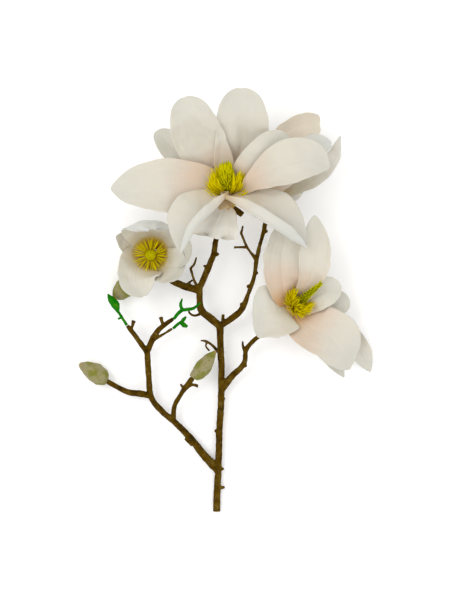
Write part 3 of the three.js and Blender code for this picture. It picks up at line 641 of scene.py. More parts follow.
def rolled_sheet(points, shape, seed, s, v):
    """A sheet bent along points and rolled across; s runs from claw to tip, v from side to side."""
    centre, heading = Spline(points).even(s)
    look = between(shape["face"], s)
    look = unit(look - heading * np.sum(look * heading, axis=1, keepdims=True))
    side = np.cross(heading, look)
    half = (v >= 0).astype(int)
    curl = np.outer(np.minimum(1, CLAW_ROLL + ROLL_RISE * s), np.broadcast_to(shape["cup"], 2)[half])
    reach = np.outer(outline(s, **shape.get("edge", ROUND)), np.broadcast_to(shape["wide"], 2)[half])
    drift = np.stack([np.full_like(s, seed), STRAYS_ALONG * s, 0 * s], axis=-1)
    left, right = noise_at(drift, 1, 1), noise_at(drift, 1, 2)
    reach *= 1 + RAGGED * np.where(half[None, :], right[:, None], left[:, None])
    reach = np.maximum(TIP_HALF, reach + shape["claw"] * ((1 - s) ** 3)[:, None])
    roll = curl * np.abs(v)
    height, count = shape.get("folds", [0, 1])
    fold = np.outer(height * s**2, np.cos(np.pi * count * v))
    belly = np.sin(np.pi * s)
    dip = np.outer(shape.get("groove", 0) * belly, np.exp(-((v / GROOVE_HALF) ** 2)))
    rib = np.outer(RIB * belly, np.exp(-((v / RIB_HALF) ** 2)))
    across = np.sign(v) * reach * np.sin(roll) / curl
    lift = reach * (1 - np.cos(roll)) / curl + fold - dip - rib
    return centre[:, None] + side[:, None] * across[..., None] + look[:, None] * lift[..., None]


def rumpled(sheet, seed, s, v):
    """The sheet with a soft rumple, faint pleats and a frilled edge."""
    near_edge = np.maximum(np.abs(v)[None, :] ** 6, (s**14)[:, None])
    lanes = np.outer(np.ones_like(s), v * PLEATS) + PLEAT_WAVER * noise_at(sheet, PLEAT_SCALE, seed)
    pleat = np.sin(lanes) * np.sin(np.pi * s)[:, None]
    relief = RUMPLE * noise_at(sheet, RUMPLE_SCALE, seed) + PUCKER * noise_at(sheet, PUCKER_SCALE, seed + 5)
    relief += FRILL * near_edge * noise_at(sheet, FRILL_SCALE, seed + 9) + PLEAT * pleat
    settle = np.minimum(1, SETTLING * s)
    return sheet + face_normals(sheet) * (relief * settle[:, None])[..., None]


def two_faces(sheet, s, v):
    """The front and back of a sheet that thins towards its edge, both kept above the table."""
    normal = face_normals(sheet)
    edge = np.maximum(np.abs(v)[None, :] ** 3, (s**6)[:, None])
    thick = (TEPAL_THICK + (TEPAL_EDGE - TEPAL_THICK) * edge)[..., None]
    front, back = sheet + normal * thick / 2, sheet - normal * thick / 2
    upper = (normal[..., 2] > 0) * thick[..., 0]
    front[..., 2] = np.maximum(front[..., 2], upper)
    back[..., 2] = np.maximum(back[..., 2], thick[..., 0] - upper)
    return front, back


def closed_faces(rows, cols):
    """Faces of two grids of places, front and back, joined round their rim."""
    far = rows * cols
    number = np.arange(far).reshape(rows, cols)
    a, b, c, d = number[:-1, :-1], number[:-1, 1:], number[1:, 1:], number[1:, :-1]
    faces = np.stack([a, b, c, d], axis=-1).reshape(-1, 4).tolist()
    faces += (np.stack([a, d, c, b], axis=-1).reshape(-1, 4) + far).tolist()
    rim = np.concatenate([number[0, :-1], number[:-1, -1], number[-1, :0:-1], number[:0:-1, 0]])
    ahead = np.roll(rim, -1)
    return faces + np.stack([rim, rim + far, ahead + far, ahead], axis=-1).tolist()


def tepal(name, heart, axis, ring, shape, seed, material):
    """A tepal as a closed sheet; its foot stands round the heart at the ring's distance."""
    points = along_layout(shape["spine"])
    out = points[1] - heart
    out = unit(out - axis * out.dot(axis))
    points[0] = heart - axis * CLAW_SINK + out * ring
    s = TIP_ROW * (1 - (1 - np.linspace(0, 1, TEPAL_ROWS + 1)) ** ROW_CROWDING)
    v = np.linspace(-1, 1, TEPAL_COLS + 1)
    front, back = two_faces(rumpled(rolled_sheet(points, shape, seed, s, v), seed, s, v), s, v)
    places = np.vstack([front.reshape(-1, 3), back.reshape(-1, 3)])
    uv = np.stack(np.broadcast_arrays(v[None, :] / 2 + 0.5, s[:, None]), axis=-1).reshape(-1, 2)
    piece = new_piece(name, places, closed_faces(len(s), len(v)), np.vstack([uv, uv]), material)
    outer = piece.data.attributes.new("outer", "FLOAT", "POINT")
    outer.data.foreach_set("value", np.repeat([0.0, 1.0], len(uv)))
    return piece


# Spines are layout places with a height in mm. A tepal has the headings of its face from claw to tip,
# its half width and its cup (one for each side where they differ), and how much wider its claw is.
# Folds are a height and a count.
FRONT_TEPALS = dict(
    left=dict(
        spine=[[227, 201, 46], [205, 190, 52], [170, 186.5, 57], [135, 187, 58], [110.5, 188.5, 51]],
        face=[[0, 0.1, 1]], wide=23, cup=0.5, edge=POINTED, claw=9,
    ),
    up_left=dict(
        spine=[[229, 200, 44], [215, 170, 46], [201, 141, 56], [191, 117, 67], [184, 97, 66]],
        face=[[-0.3, -0.1, 1], [0, 0, 1]], wide=[22, 21.5], cup=0.5, groove=1.2, claw=8,
    ),
    up=dict(
        spine=[[231, 200, 44], [237, 168, 46], [242, 140, 55], [242, 112, 62], [241, 88, 58]],
        face=[[0, -0.1, 1], [0, 0, 1]], wide=23, cup=0.5, groove=3, claw=8,
    ),
    behind=dict(
        spine=[[228, 201, 45], [205, 180, 44], [180, 155, 46], [156, 131, 41]],
        face=[[0, 0, 1], [0.3, 0, 1]], wide=[13, 14], cup=0.6, claw=4,
    ),
    right=dict(
        spine=[[233, 201, 48], [252, 183, 66], [280, 168, 78], [308, 160, 80], [330, 167, 71]],
        face=[[0, 0.1, 1], [0, 0.25, 1]], wide=[21, 18], cup=[0.4, 0.6],
        edge=dict(belly=0.66, open=2, close=1.9, point=0.8), claw=4,
    ),
    up_right=dict(
        spine=[[233, 200, 46], [253, 172, 63], [271, 150, 71], [290, 137, 69]],
        face=[[-0.2, 0.3, 1], [0, 0, 1], [-0.1, 0, 1]], wide=[16.5, 13], cup=[0.25, 0.3],
        edge=dict(belly=0.6, open=0.4, close=2.4, point=0.5), claw=6,
    ),
    low_right=dict(
        spine=[[232.5, 203, 50], [227.5, 198, 62], [245, 206.5, 68], [272, 223, 72],
               [306.5, 247, 59]],
        face=[[0.5, 0.4, 0.7], [0.3, 0.42, 0.87], [0.3, 0.42, 0.87]], wide=[29, 20],
        cup=[0.45, 3.1], edge=dict(belly=0.58, open=0.9, close=2.2, point=0.85), claw=4.6,
        finish="claw_tepal",
    ),
    low_left=dict(
        spine=[[229, 203, 50], [224.5, 197, 62.5], [211.5, 208.5, 68.5], [193.5, 226, 75],
               [180, 254, 69]],
        face=[[-0.6, 0.3, 0.7], [-0.35, 0.3, 0.87], [-0.35, 0.3, 0.87]], wide=[15.5, 28],
        cup=[3.1, 0.45], edge=dict(belly=0.52, open=1, close=1.9, point=0.95), claw=2.7,
        finish="claw_tepal",
    ),
    low=dict(
        spine=[[230, 205, 48], [222.5, 213, 52], [217, 225, 54], [215, 238, 53]],
        face=[[0, 0.1, 1], [-0.2, 0.1, 1]], wide=[20, 20.5], cup=0.3,
        edge=dict(belly=0.8, open=0.7, close=5, point=0.3), folds=[3, 2], claw=3,
        # Its finish has painted light: brighter ivory where the claws above shade it.
        finish="bright_tepal",
    ),
)
BACK_TEPALS = dict(
    top=dict(
        spine=[[268, 193, 31], [271, 165, 42], [280, 140, 47], [297, 126.5, 48], [320, 124, 44]],
        face=[[0.3, -0.3, 0.8], [0.2, -0.2, 0.9]], wide=[11.5, 11], cup=[0.8, 0.5],
        # Its finish is warm ivory with painted light, brighter where the front bloom shades it.
        edge=dict(belly=0.45, open=0.6, close=16, point=0.3), claw=6, finish="warm_tepal",
    ),
    inner=dict(
        spine=[[269, 191, 35], [288, 170, 53], [312, 150, 57], [331, 145, 51]],
        face=[[0.3, 0.3, -0.8]], wide=14, cup=0.7, claw=4,
    ),
    side=dict(
        spine=[[272, 194, 30], [300, 187.5, 32], [322, 174.5, 35], [336.5, 157, 36],
               [341, 135.5, 34]],
        face=[[-0.4, 0.6, -0.6], [-0.7, 0.3, -0.6]], wide=[15, 13], cup=0.8,
        edge=dict(belly=0.52, open=0.9, close=1.9, point=0.8), claw=2.5, finish="shaded_tepal",
    ),
    under=dict(
        spine=[[270, 195, 28], [282, 196, 25], [292, 195, 22], [303, 191, 20]],
        face=[[-0.2, 0.5, -0.7]], wide=[11, 10], cup=0.7, claw=2,
        finish="shaded_tepal",
    ),
    low=dict(
        spine=[[270, 192, 27], [284, 172, 13], [302, 152, 4], [322, 140, -1]],
        face=[[-0.2, 0.4, 0.9]], wide=16, cup=0.7, claw=4,
    ),
    low_far=dict(
        spine=[[267, 190, 27], [276, 163, 17], [288, 141, 12], [304, 124, 13]],
        face=[[0.3, -0.2, 0.9]], wide=15, cup=0.7, claw=4,
    ),
    low_side=dict(
        spine=[[271, 193, 27], [290, 184, 14], [310, 172, 5], [328, 162, -1]],
        face=[[-0.3, 0.6, 0.8]], wide=14, cup=0.7, claw=4,
    ),
)
RIGHT_TEPALS = dict(
    tall_left=dict(
        spine=[[289, 309, 22], [283, 286, 33], [282, 258, 41], [288, 214, 40]],
        face=[[0.7, -0.7, 0.2], [0, -0.2, 1], [0, 0, 1], [0, 0, 1]], wide=[16, 18], cup=[0.7, 0.4],
        edge=POINTED, groove=1.2, claw=5,
    ),
    tall_right=dict(
        spine=[[293, 309, 22], [309, 281, 41], [315.5, 250, 51], [314.5, 215, 50]],
        face=[[0.4, -0.8, 0.4], [0.1, -0.2, 1], [0, 0, 1], [0, 0, 1]], wide=[14, 13.5],
        cup=0.5, edge=dict(belly=0.64, open=1.6, close=1.9, point=0.85), claw=3,
    ),
    right_up=dict(
        spine=[[294, 309, 20], [313, 298, 32], [328, 290, 37], [340, 284, 36]],
        face=[[-0.8, 0.2, 0.6], [0.1, 0, 1], [0.1, 0, 1], [0.1, 0, 1]], wide=13,
        cup=0.4, claw=2.5,
    ),
    right_low=dict(
        spine=[[294, 311, 19], [318, 303, 25], [335, 302, 27], [349.5, 307, 24]],
        face=[[-0.8, 0.3, 0.5], [0.1, 0, 1], [0.1, 0, 1], [0.1, 0, 1]], wide=[11, 12],
        cup=0.4, claw=3,
    ),
    near=dict(
        spine=[[290, 315, 23], [280, 312, 32], [267, 312.5, 37], [252.5, 313, 34]],
        face=[[0.2, 0.6, 1], [0.1, 0.1, 1]], wide=23, cup=[0.3, 0.4],
        edge=dict(belly=0.64, open=0.3, close=2.6, point=0.5), claw=7, finish="plain_tepal",
    ),
    low=dict(
        spine=[[293, 315, 21], [312, 329, 33], [335, 343, 32], [350, 369.5, 13]],
        face=[[0.2, 0.2, 1]], wide=[24.5, 20], cup=0.5,
        edge=dict(belly=0.54, open=0.5, close=1.9, point=0.95), claw=8,
    ),
    low_back=dict(
        spine=[[293, 317, 19], [330, 328, 20], [356, 346, 14], [370.5, 372, -1]],
        face=[[-0.3, 0.2, 1]], wide=12, cup=0.5, edge=POINTED, claw=5,
    ),
    low_under=dict(
        spine=[[292, 316, 18], [316, 339, 15], [331, 357, 7], [344, 377.5, -1]],
        face=[[0.1, 0.2, 1]], wide=9, cup=0.5, edge=POINTED, claw=5,
    ),
)
CUP_TEPALS = dict(
    up=dict(
        spine=[[151, 254, 8], [150, 235, 16], [150, 222, 32], [150.5, 221.5, 42], [151.5, 229.5, 47]],
        face=[[0, -0.2, 1], [0, -1, 0.3], [0, -0.8, -0.6]], wide=[26, 23], cup=0.6, edge=SPOON,
        claw=7, folds=[0.8, 3],
    ),
    left=dict(
        spine=[[149, 256, 8], [134, 249, 10], [124, 243, 14], [116, 237, 24]],
        face=[[0.3, 0, 1], [0.7, 0.2, 0.7]], wide=[8.5, 12], cup=[0.4, 0.6], edge=POINTED, claw=7,
    ),
    low_left=dict(
        spine=[[150, 258, 8], [139, 266, 17], [136, 280, 26], [144, 296, 27]],
        face=[[0.1, 0.3, 1], [0.1, 0.4, 0.9]], wide=[20, 16], cup=0.5,
        edge=dict(belly=0.45, open=0.3, close=2.4, point=0.55), claw=8,
    ),
    low_right=dict(
        spine=[[153, 258, 8], [161.5, 266, 17.5], [175, 267.5, 28], [186, 265.5, 35]],
        face=[[-0.3, 0.3, 1], [-0.7, 0.4, 0.7]], wide=[17, 15.5], cup=0.5, edge=SPOON, claw=9,
    ),
    right=dict(
        spine=[[153, 255, 8], [168, 251, 16], [182, 249, 28], [192, 248, 38]],
        face=[[-0.3, 0, 1], [-0.9, 0, 0.5]], wide=17, cup=0.6, edge=SPOON, claw=7,
    ),
)
# A stamen core has a radius and a height; its needles have lengths and leans from the foot to the top.
BLOOMS = dict(
    front=dict(
        twig="front_twig",
        heart=[228.5, 198, 50],
        axis=[-0.08, 0.85, 0.5],
        receptacle=[2.6, 3.2, 6.4, 6.6],
        tepals=FRONT_TEPALS,
        stamens=dict(core=[3.9, 8], count=560, length=[17, 20], lean=[1.2, 0.5]),
        pistil=dict(radii=[4, 4.5, 4.1, 3, 1.4], length=19, styles=300, curl=6.5,
                    style_finish="front_style"),
    ),
    back=dict(
        twig="right_twig",
        heart=[270, 192, 33],
        axis=[0.6, 0.45, 0.3],
        receptacle=[2.4, 3, 5.4, 5.6],
        tepals=BACK_TEPALS,
        stamens=dict(core=[2, 3.6], count=50, length=[4, 6], lean=[0.7, 0.2]),
        pistil=dict(radii=[1.3, 1.4, 1.2, 0.6], length=5, styles=30),
    ),
    right=dict(
        twig="lower_right",
        heart=[293, 307.5, 24],
        axis=[0.56, 0.5, 0.66],
        receptacle=[2.3, 3, 6, 6.2],
        tepals=RIGHT_TEPALS,
        stamens=dict(core=[4.5, 8], count=420, length=[11, 14], lean=[1.25, 0.5]),
        pistil=dict(radii=[2.6, 2.6, 2.3, 2, 0.9], length=32.5, styles=110, finish="olive_pistil"),
    ),
    cup=dict(
        twig="cup_twig",
        heart=[151, 256, 10],
        axis=[0, 0.05, 1],
        receptacle=[2.4, 3, 6, 6.4],
        finish="cup_tepal",
        tepals=CUP_TEPALS,
        stamens=dict(core=[4.2, 10], count=84, length=[10, 13.5], lean=[1.5, 0.9]),
        pistil=dict(radii=[3.2, 4.6, 4.2, 2], length=5, styles=40, finish="gold_pistil"),
    ),
)


# ---- stamens and pistils ---------------------------------

CORE_FOOT = 0.65              # how narrow the stamen core starts, as a share of its radius
CORE_ALONG = 0.15             # the core shows the tint of this first part of the needles
NEEDLE_RING = 0.8             # how far out the needles start, as a share of the core's radius
NEEDLE_ZONE = (0.1, 0.95)     # the part of the core's height that they cover
STYLE_RING = (0.92, 0.9)      # the same for the styles, as shares of the cone's end radii
STYLE_ZONE = (0.05, 0.97)
STYLE_LEAN = (1.1, 0.4)
STYLE_SHORT = 0.9             # length of the lowest styles, as a share of the highest ones'
PEAK = (226.0, 192.0)         # layout place where the two lower claws of the front bloom meet
CLAW_SLOPES = (0.62, 0.3)     # how fast their upper edges fall away from it, left and right
CLAW_LEVEL, CONE_LEVEL = 53.0, 64.0
CLAW_MARGIN, CONE_HALF = 1.0, 5.5


def template(name, points, radii, sides, step):
    """A little piece a thousand units long, to be set many times by a growth rule."""
    return new_piece(name, *stick(points, radii, sides, step), MATERIALS["golden_stamen"])


NEEDLE = template("needle", [[0, 0, 0], [20, 0, 350], [10, 0, 700], [-70, 0, 1000]], [20, 26, 28, 5], 6, 160)
STYLE = template("style", [[0, 0, 0], [90, 0, 420], [60, 0, 800], [-160, 0, 980]], [110, 100, 80, 30], 6, 140)
SPECK = template("speck", [[0, 0, -300], [0, 0, 0], [0, 0, 300]], [900, 800, 300], 7, 200)
HAIR = template("hair", [[0, 0, -100], [40, 0, 400], [0, 0, 1000]], [90, 80, 15], 3, 400)
WHORL, COVER = whorl_tree(), cover_tree()


def in_front_of_cone(places):
    """True for copies whose outer half hides the cone of the front bloom or lies over its lower claws."""
    places = places[:, places.shape[1] // 2:]
    u, v = on_layout(places)
    from_peak = u - PEAK[0]
    claws = PEAK[1] + np.where(from_peak < 0, -CLAW_SLOPES[0], CLAW_SLOPES[1]) * from_peak
    over_claws = (v > claws + CLAW_MARGIN) & (places[..., 2] > CLAW_LEVEL)
    before_cone = (np.abs(from_peak) < CONE_HALF) & (v < PEAK[1]) & (places[..., 2] > CONE_LEVEL)
    return (over_claws | before_cone).any(axis=1)


def left_out(piece, size, unwanted):
    """Takes away the copies, of size vertices each, that are unwanted."""
    places = np.empty(len(piece.data.vertices) * 3)
    piece.data.vertices.foreach_get("co", places)
    gone = unwanted(places.reshape(-1, size, 3) / MM)
    mesh = bmesh.new()
    mesh.from_mesh(piece.data)
    bmesh.ops.delete(mesh, geom=[v for v in mesh.verts if gone[v.index // size]], context="VERTS")
    mesh.to_mesh(piece.data)
    mesh.free()


def set_on_axis(piece, foot, axis):
    """Moves a piece built up from the origin so that it stands on foot, along the axis."""
    side, top = square(axis)
    turn = Matrix((side, top, axis)).transposed().to_4x4()
    turn.translation = Vector(foot * MM)
    piece.data.transform(turn)


def whorl(name, foot, axis, part, finish, sizes, lean, unwanted=None, **settings):
    """Copies of a part round an axis; each size and the lean go from the foot to the top."""
    settings.update({"Piece": part, "Material": MATERIALS[finish]})
    settings.update({"Foot Lean": lean[0], "Top Lean": lean[1]})
    for label, (low, high) in sizes.items():
        settings.update({f"Foot {label}": low * MM, f"Top {label}": high * MM})
    piece = grown(name, WHORL, settings)
    set_on_axis(piece, foot, axis)
    if unwanted:
        left_out(piece, len(part.data.vertices), unwanted)
    return piece


def stamens(name, heart, axis, shape):
    """A core thickly set with needles, the outer ones leaning furthest."""
    radius, tall = shape["core"]
    foot = heart + axis * SEAT_GAP
    node = f"{name}_bloom_stamens"
    points = [foot, foot + axis * tall / 2, foot + axis * tall]
    places, faces, uv = stick(points, [radius * CORE_FOOT, radius, radius], sides=28, step=0.6,
                              lumps=0.08, seed=5)
    core = new_piece(f"{name}_bloom_stamen_core", places, faces, np.array(uv) * [1, CORE_ALONG],
                     MATERIALS["golden_stamen"])
    finished(core, node)
    sizes = {
        "Radius": [radius * NEEDLE_RING] * 2,
        "Height": [tall * share for share in NEEDLE_ZONE],
        "Length": shape["length"],
    }
    unwanted = in_front_of_cone if name == "front" else None
    needles = whorl(node, foot, axis, NEEDLE, "golden_stamen", sizes, shape["lean"], unwanted,
                    Count=shape["count"], Spread=0.14, Seed=len(name))
    finished(needles, node)


def pistil(name, foot, axis, shape):
    """An olive cone set with curled styles."""
    radii, tall = shape["radii"], shape["length"]
    node = f"{name}_bloom_pistil"
    points = [foot + axis * (tall * i / (len(radii) - 1)) for i in range(len(radii))]
    cone = new_piece(node, *stick(points, radii, sides=32, step=0.35, lumps=0.10, seed=3),
                     MATERIALS[shape.get("finish", "green_pistil")])
    finished(cone, node)
    curl = shape.get("curl", 3.0)
    sizes = {
        "Radius": [radii[0] * STYLE_RING[0], radii[-1] * STYLE_RING[1]],
        "Height": [tall * share for share in STYLE_ZONE],
        "Length": [curl * STYLE_SHORT, curl],
    }
    styles = whorl(f"{name}_bloom_styles", foot, axis, STYLE, shape.get("style_finish", "olive_style"), sizes,
                   STYLE_LEAN, Count=shape["styles"], Spread=0.2, Seed=7)
    finished(styles, node)


# ---- twigs, buds and shoots ------------------------------

TWIGS = dict(
    stem=dict(
        spine=[[216.7, 511.5, 3.1], [217.2, 490, 3.3], [218.5, 465, 4.2], [219.5, 430, 6], [221, 400, 8],
               [221.5, 370, 10], [220.5, 346, 12], [220, 326, 14]],
        radii=[3.1, 3, 2.9, 2.9, 2.9, 2.9, 2.8, 3.2],
    ),
    left_limb=dict(
        spine=[[218.6, 470, 4.6], [206, 457.5, 6], [191.7, 439.6, 7.4], [175.4, 422.6, 8.8],
               [162, 411.4, 9.8], [151.2, 397, 10.8], [148.6, 374, 12.6], [147.2, 352, 14.5]],
        radii=[4.2, 3.5, 3, 2.7, 2.7, 2.6, 2.5, 2.7],
    ),
    left_bud_twig=dict(
        spine=[[150.5, 395.6, 10.8], [140, 393.6, 9.6], [128, 392, 8.6], [115.5, 386, 8], [107.4, 381.6, 8]],
        radii=[2.9, 2.8, 2.5, 2.2, 2.4],
    ),
    middle_bud_twig=dict(
        spine=[[173.4, 419, 9], [174.6, 406, 11], [180.4, 395, 12], [184.9, 388, 13], [192.6, 378, 14]],
        radii=[2.2, 2, 2, 2.4, 2.2],
    ),
    left_fork_up=dict(
        spine=[[147, 352, 14.5], [136.4, 337.4, 15.5], [127.2, 325.4, 16]],
        radii=[2.5, 2.2, 1.7],
    ),
    right_fork_up=dict(
        spine=[[147.8, 350, 14.5], [155.7, 333.4, 17.5], [163.9, 325.4, 20], [173.2, 318.8, 22]],
        radii=[2.8, 2.4, 2.1, 1.6],
    ),
    lower_fork=dict(spine=[[152, 341, 16], [161, 335.5, 17], [172.5, 328.5, 18]], radii=[1.5, 1.2, 1.1]),
    limb=dict(
        spine=[[220, 326, 14], [208.6, 316.9, 16], [201.5, 310.5, 18], [199.6, 300, 20], [199.6, 288, 22]],
        radii=[3.1, 3.3, 3.2, 2.7, 2.8],
    ),
    cup_twig=dict(
        spine=[[199.6, 290, 22], [185, 286.4, 17], [173, 281, 12], [162, 273, 7.4], [155.5, 265, 5]],
        radii=[3.4, 3.2, 3, 2.5, 2.3],
    ),
    cup_bud_twig=dict(
        spine=[[167, 275.5, 9.5], [156, 275.5, 7.2], [148, 274.5, 6.6], [141.5, 275, 6.6]],
        radii=[2, 1.7, 1.7, 2],
    ),
    front_twig=dict(
        spine=[[199.6, 288, 22], [204.3, 277.4, 23], [208.5, 267, 24], [213.5, 255, 25], [216, 240, 25.5],
               [222, 222, 28], [226.5, 212, 32.5], [228.5, 208, 38.5]],
        radii=[2.6, 2.7, 2.8, 2.4, 2.4, 2.4, 2.5, 2.6],
    ),
    front_spur=dict(spine=[[198, 288, 22], [194, 280, 24], [190.5, 268, 26]], radii=[1.5, 1.2, 1.1]),
    front_spur_tip=dict(spine=[[190.5, 268.3, 26], [194.3, 264, 27], [196.5, 257, 28]], radii=[1.1, 1, 0.9]),
    right_twig=dict(
        spine=[[220, 326, 14], [228, 321, 15.5], [238, 313.5, 17.5], [243.5, 306, 19], [248.6, 293, 21],
               [254.2, 276, 24], [256.6, 260, 26], [259.6, 246, 27], [263.6, 231, 28], [267, 212, 29],
               [267, 203, 29.5]],
        radii=[3, 2.8, 2.8, 2.6, 1.9, 1.8, 1.9, 1.8, 1.8, 2, 2.4],
    ),
    crotch_spur=dict(spine=[[222.5, 326, 15], [223.2, 314.5, 17]], radii=[1.6, 1.3]),
    right_fork=dict(
        spine=[[256, 259, 26], [250, 251.5, 27.5], [246.5, 246, 28.5], [241, 233, 30.5]],
        radii=[2, 1.2, 1.1, 1.1],
    ),
    right_fork_tip=dict(spine=[[241, 234, 30.3], [243, 225.5, 32]], radii=[1.2, 0.9]),
    right_fork_side=dict(
        spine=[[247.4, 247.4, 28.3], [240, 247.2, 29], [234, 247.3, 29.5]],
        radii=[1.1, 1, 1.2],
    ),
    lower_right=dict(
        spine=[[221, 390, 8.4], [231.4, 376.8, 10], [240.5, 368, 12], [244.7, 361, 14], [245.8, 351, 15],
               [250, 344, 16], [258, 337, 17], [270, 328, 18], [280, 320, 19.5]],
        radii=[3.2, 2.9, 2.5, 2.2, 2.1, 2.1, 2, 2.1, 2.3],
    ),
    lower_right_spur=dict(
        spine=[[245.6, 353, 15], [243.2, 347, 16.5], [242.6, 341, 17.5]],
        radii=[1.6, 1.3, 0.9],
    ),
    hook=dict(
        spine=[[219.8, 354, 12], [213.5, 346.5, 14.5], [206.6, 341.5, 17], [200.3, 340.5, 18]],
        radii=[1.5, 1.2, 1.2, 0.8],
    ),
    hook_loop=dict(spine=[[207.2, 341.7, 17], [205.8, 346, 17], [209.5, 351, 16.6]], radii=[1, 0.9, 0.8]),
    limb_spur=dict(
        spine=[[203.5, 312.5, 17.6], [195, 315.5, 20], [189.5, 313, 20.5], [189, 309, 20]],
        radii=[1.5, 1.2, 1.1, 0.9],
    ),
    knob_twig=dict(spine=[[183, 391, 12.5], [192, 385, 13.5], [198.2, 386.2, 13.5]], radii=[1.3, 1.2, 1.6]),
)

# Leaf scars and sleeping buds: short blunt nubs that start inside the bark, with two radii.
NUBS = [
    [[218, 488, 3.6], [225, 487, 4.4], 2.1, 1.2],
    [[219.5, 469.5, 4.6], [224, 468.5, 5.4], 2.0, 1.1],
    [[219, 432, 6], [214.6, 430.4, 7.6], 2.1, 1.2],
    [[194, 443.5, 7.4], [187, 436.5, 7.6], 3.8, 3.4],
    [[184, 389, 12.9], [180.4, 384, 14], 1.5, 1.0],
    [[163, 325.5, 20], [160.6, 317, 21.5], 1.1, 2.0],
    [[131.5, 329.5, 15.8], [133.8, 320.5, 17.5], 0.9, 2.0],
    [[208, 267.5, 24], [203.6, 265.5, 26], 1.6, 1.0],
    [[213.5, 256, 25], [218.8, 253.6, 26], 1.7, 1.1],
    [[186, 285, 17.6], [192.5, 280, 20.5], 1.3, 0.9],
    [[264, 231.5, 28], [267.6, 231, 29], 1.9, 1.1],
    [[253.8, 274.5, 24], [258, 272.5, 25.4], 1.8, 1.1],
    [[250.5, 287, 22], [247, 286, 23.5], 2.1, 1.3],
    [[243, 307, 19], [241.2, 303, 20.5], 2.6, 1.6],
    [[242.5, 366, 12.6], [247, 365.5, 13.5], 2.1, 1.3],
    [[221.5, 401, 8], [224.2, 397.5, 9.4], 2.4, 1.4],
    [[227.5, 203.5, 34], [242.6, 214.8, 35.5], 2.6, 2.6],
]

FELTED_BUDS = dict(
    left=dict(
        twig="left_bud_twig",
        spine=[[101.5, 377.5, 8.6], [94.5, 372.2, 8.8], [86.5, 367.6, 8.4], [79.8, 365, 7.8]],
        radii=[2.4, 4.6, 7.8, 8.3, 5.8, 1.8],
    ),
    cup=dict(
        twig="cup_bud_twig",
        spine=[[131, 282, 8.4], [124, 288.6, 8.8], [118.6, 294, 8.2], [114.8, 297.8, 7.6]],
        radii=[2.4, 4.4, 7.6, 8.6, 6.6, 2.4],
    ),
    middle=dict(
        twig="middle_bud_twig",
        spine=[[198.6, 372.6, 15], [203.8, 366.6, 16.5], [209, 359, 18.5], [215.4, 351.4, 20]],
        radii=[2.4, 4.2, 6.4, 7, 5.2, 1.2],
    ),
)

# Green shoots: the first stick sits on a twig end, the others grow out of it.
SHOOTS = dict(
    left_leaf_bud=dict(
        twig="left_fork_up",
        sticks=[
            [[[121, 316, 16.5], [117, 310, 17]], [1.4, 1.2, 1.3]],
            [[[118, 312, 17], [115.5, 305, 18], [111, 299, 18], [107.8, 294, 17]], [1.3, 3.8, 3.1, 0.5]],
            [[[121.2, 317.5, 16.5], [118, 319, 17.5]], [1.1, 0.9]],
        ],
    ),
    upper_green_shoot=dict(
        twig="right_fork_up",
        sticks=[
            [[[178, 313.5, 23.5], [182.7, 309.5, 25]], [1.3, 1.5, 1.6]],
            [[[182.4, 310.4, 25], [180.6, 304.5, 26.5], [182.3, 298.5, 27.5]], [1.6, 1.4, 0.6]],
            [[[182, 310, 25], [188, 309.3, 26], [194, 308, 27.5], [200.5, 302.5, 29]], [1.6, 1.5, 1.3, 0.7]],
        ],
    ),
    lower_green_shoot=dict(
        twig="lower_fork",
        sticks=[
            [[[178, 324, 18.5], [182, 321.5, 18.5]], [1.1, 1.3, 1.3]],
            [[[181.4, 322, 18.5], [183.6, 319.5, 19], [186, 316.5, 19.5]], [1.3, 1.7, 0.9]],
            [[[180.6, 322.3, 18.5], [184, 325, 18.5], [187.5, 326.5, 18]], [1.4, 2.3, 1]],
        ],
    ),
)


# ---- the woody branch ------------------------------------

BARK_VOXEL = 0.5
BARK_RELIEF = [(0.30, 0.16), (0.12, 0.75)]      # height in mm, bumps per mm
LENTICELS_PER_M2 = 22000.0
CUT_RADIUS, CUT_TAPER, CUT_PROUD, CUT_DEEP = 2.8, 0.05, 0.12, 1.5


def away_from(centre, radius, places):
    """The second coordinate is the distance from the centre, as a share of the radius."""
    away = np.linalg.norm(places - centre, axis=1) / radius
    return np.stack([0 * away, away], axis=-1)


def woody_branch():
    parts = [stick(along_layout(twig["spine"]), twig["radii"], step=0.8, lumps=0.10, seed=i)
             for i, twig in enumerate(TWIGS.values())]
    parts += [stick([at(*foot), at(*top)], radii, sides=14, step=0.5) for foot, top, *radii in NUBS]
    branch = new_piece("woody_branch_bark", *joined(parts), MATERIALS["bark"])
    melted(branch, BARK_VOXEL)
    roughened(branch, BARK_RELIEF)
    finished(branch, "woody_branch")
    specks = grown("woody_branch_lenticels", COVER, {
        "Piece": SPECK, "Material": MATERIALS["lenticel"], "Density": LENTICELS_PER_M2,
        "Length": 0.5 * MM, "Spread": 0.2, "Seed": 4,
    }, branch)
    finished(specks, "woody_branch")
    start, following = along_layout(TWIGS["stem"]["spine"][:2])
    heading = unit(following - start)
    places, faces, _ = stick([start - heading * CUT_PROUD, start + heading * CUT_DEEP],
                             [CUT_RADIUS - CUT_TAPER, CUT_RADIUS], sides=40, step=0.2)
    cut = new_piece("woody_branch_cut_end", places, faces, away_from(start, CUT_RADIUS, places),
                    MATERIALS["cut_wood"])
    finished(cut, "woody_branch")


def grown_from(twig, rest):
    """Points of a stick that starts face to face with the cut end of a twig."""
    spline = Spline(along_layout(TWIGS[twig]["spine"]))
    heading = spline.headings[-1]
    seat = spline.points[-1] + heading * SEAT_GAP
    return [seat, seat + heading * SEAT_RUN, *rest]


# ---- assembly --------------------------------------------

NECK = 4                      # where the receptacle turns towards its bloom, in mm below the heart
HAIRS_PER_M2 = 1.4e6
BUD_RELIEF = [(0.4, 0.22), (0.15, 0.9)]         # height in mm, bumps per mm
SHOOT_RELIEF = [(0.16, 0.8)]
SHOOT_VOXEL = 0.22


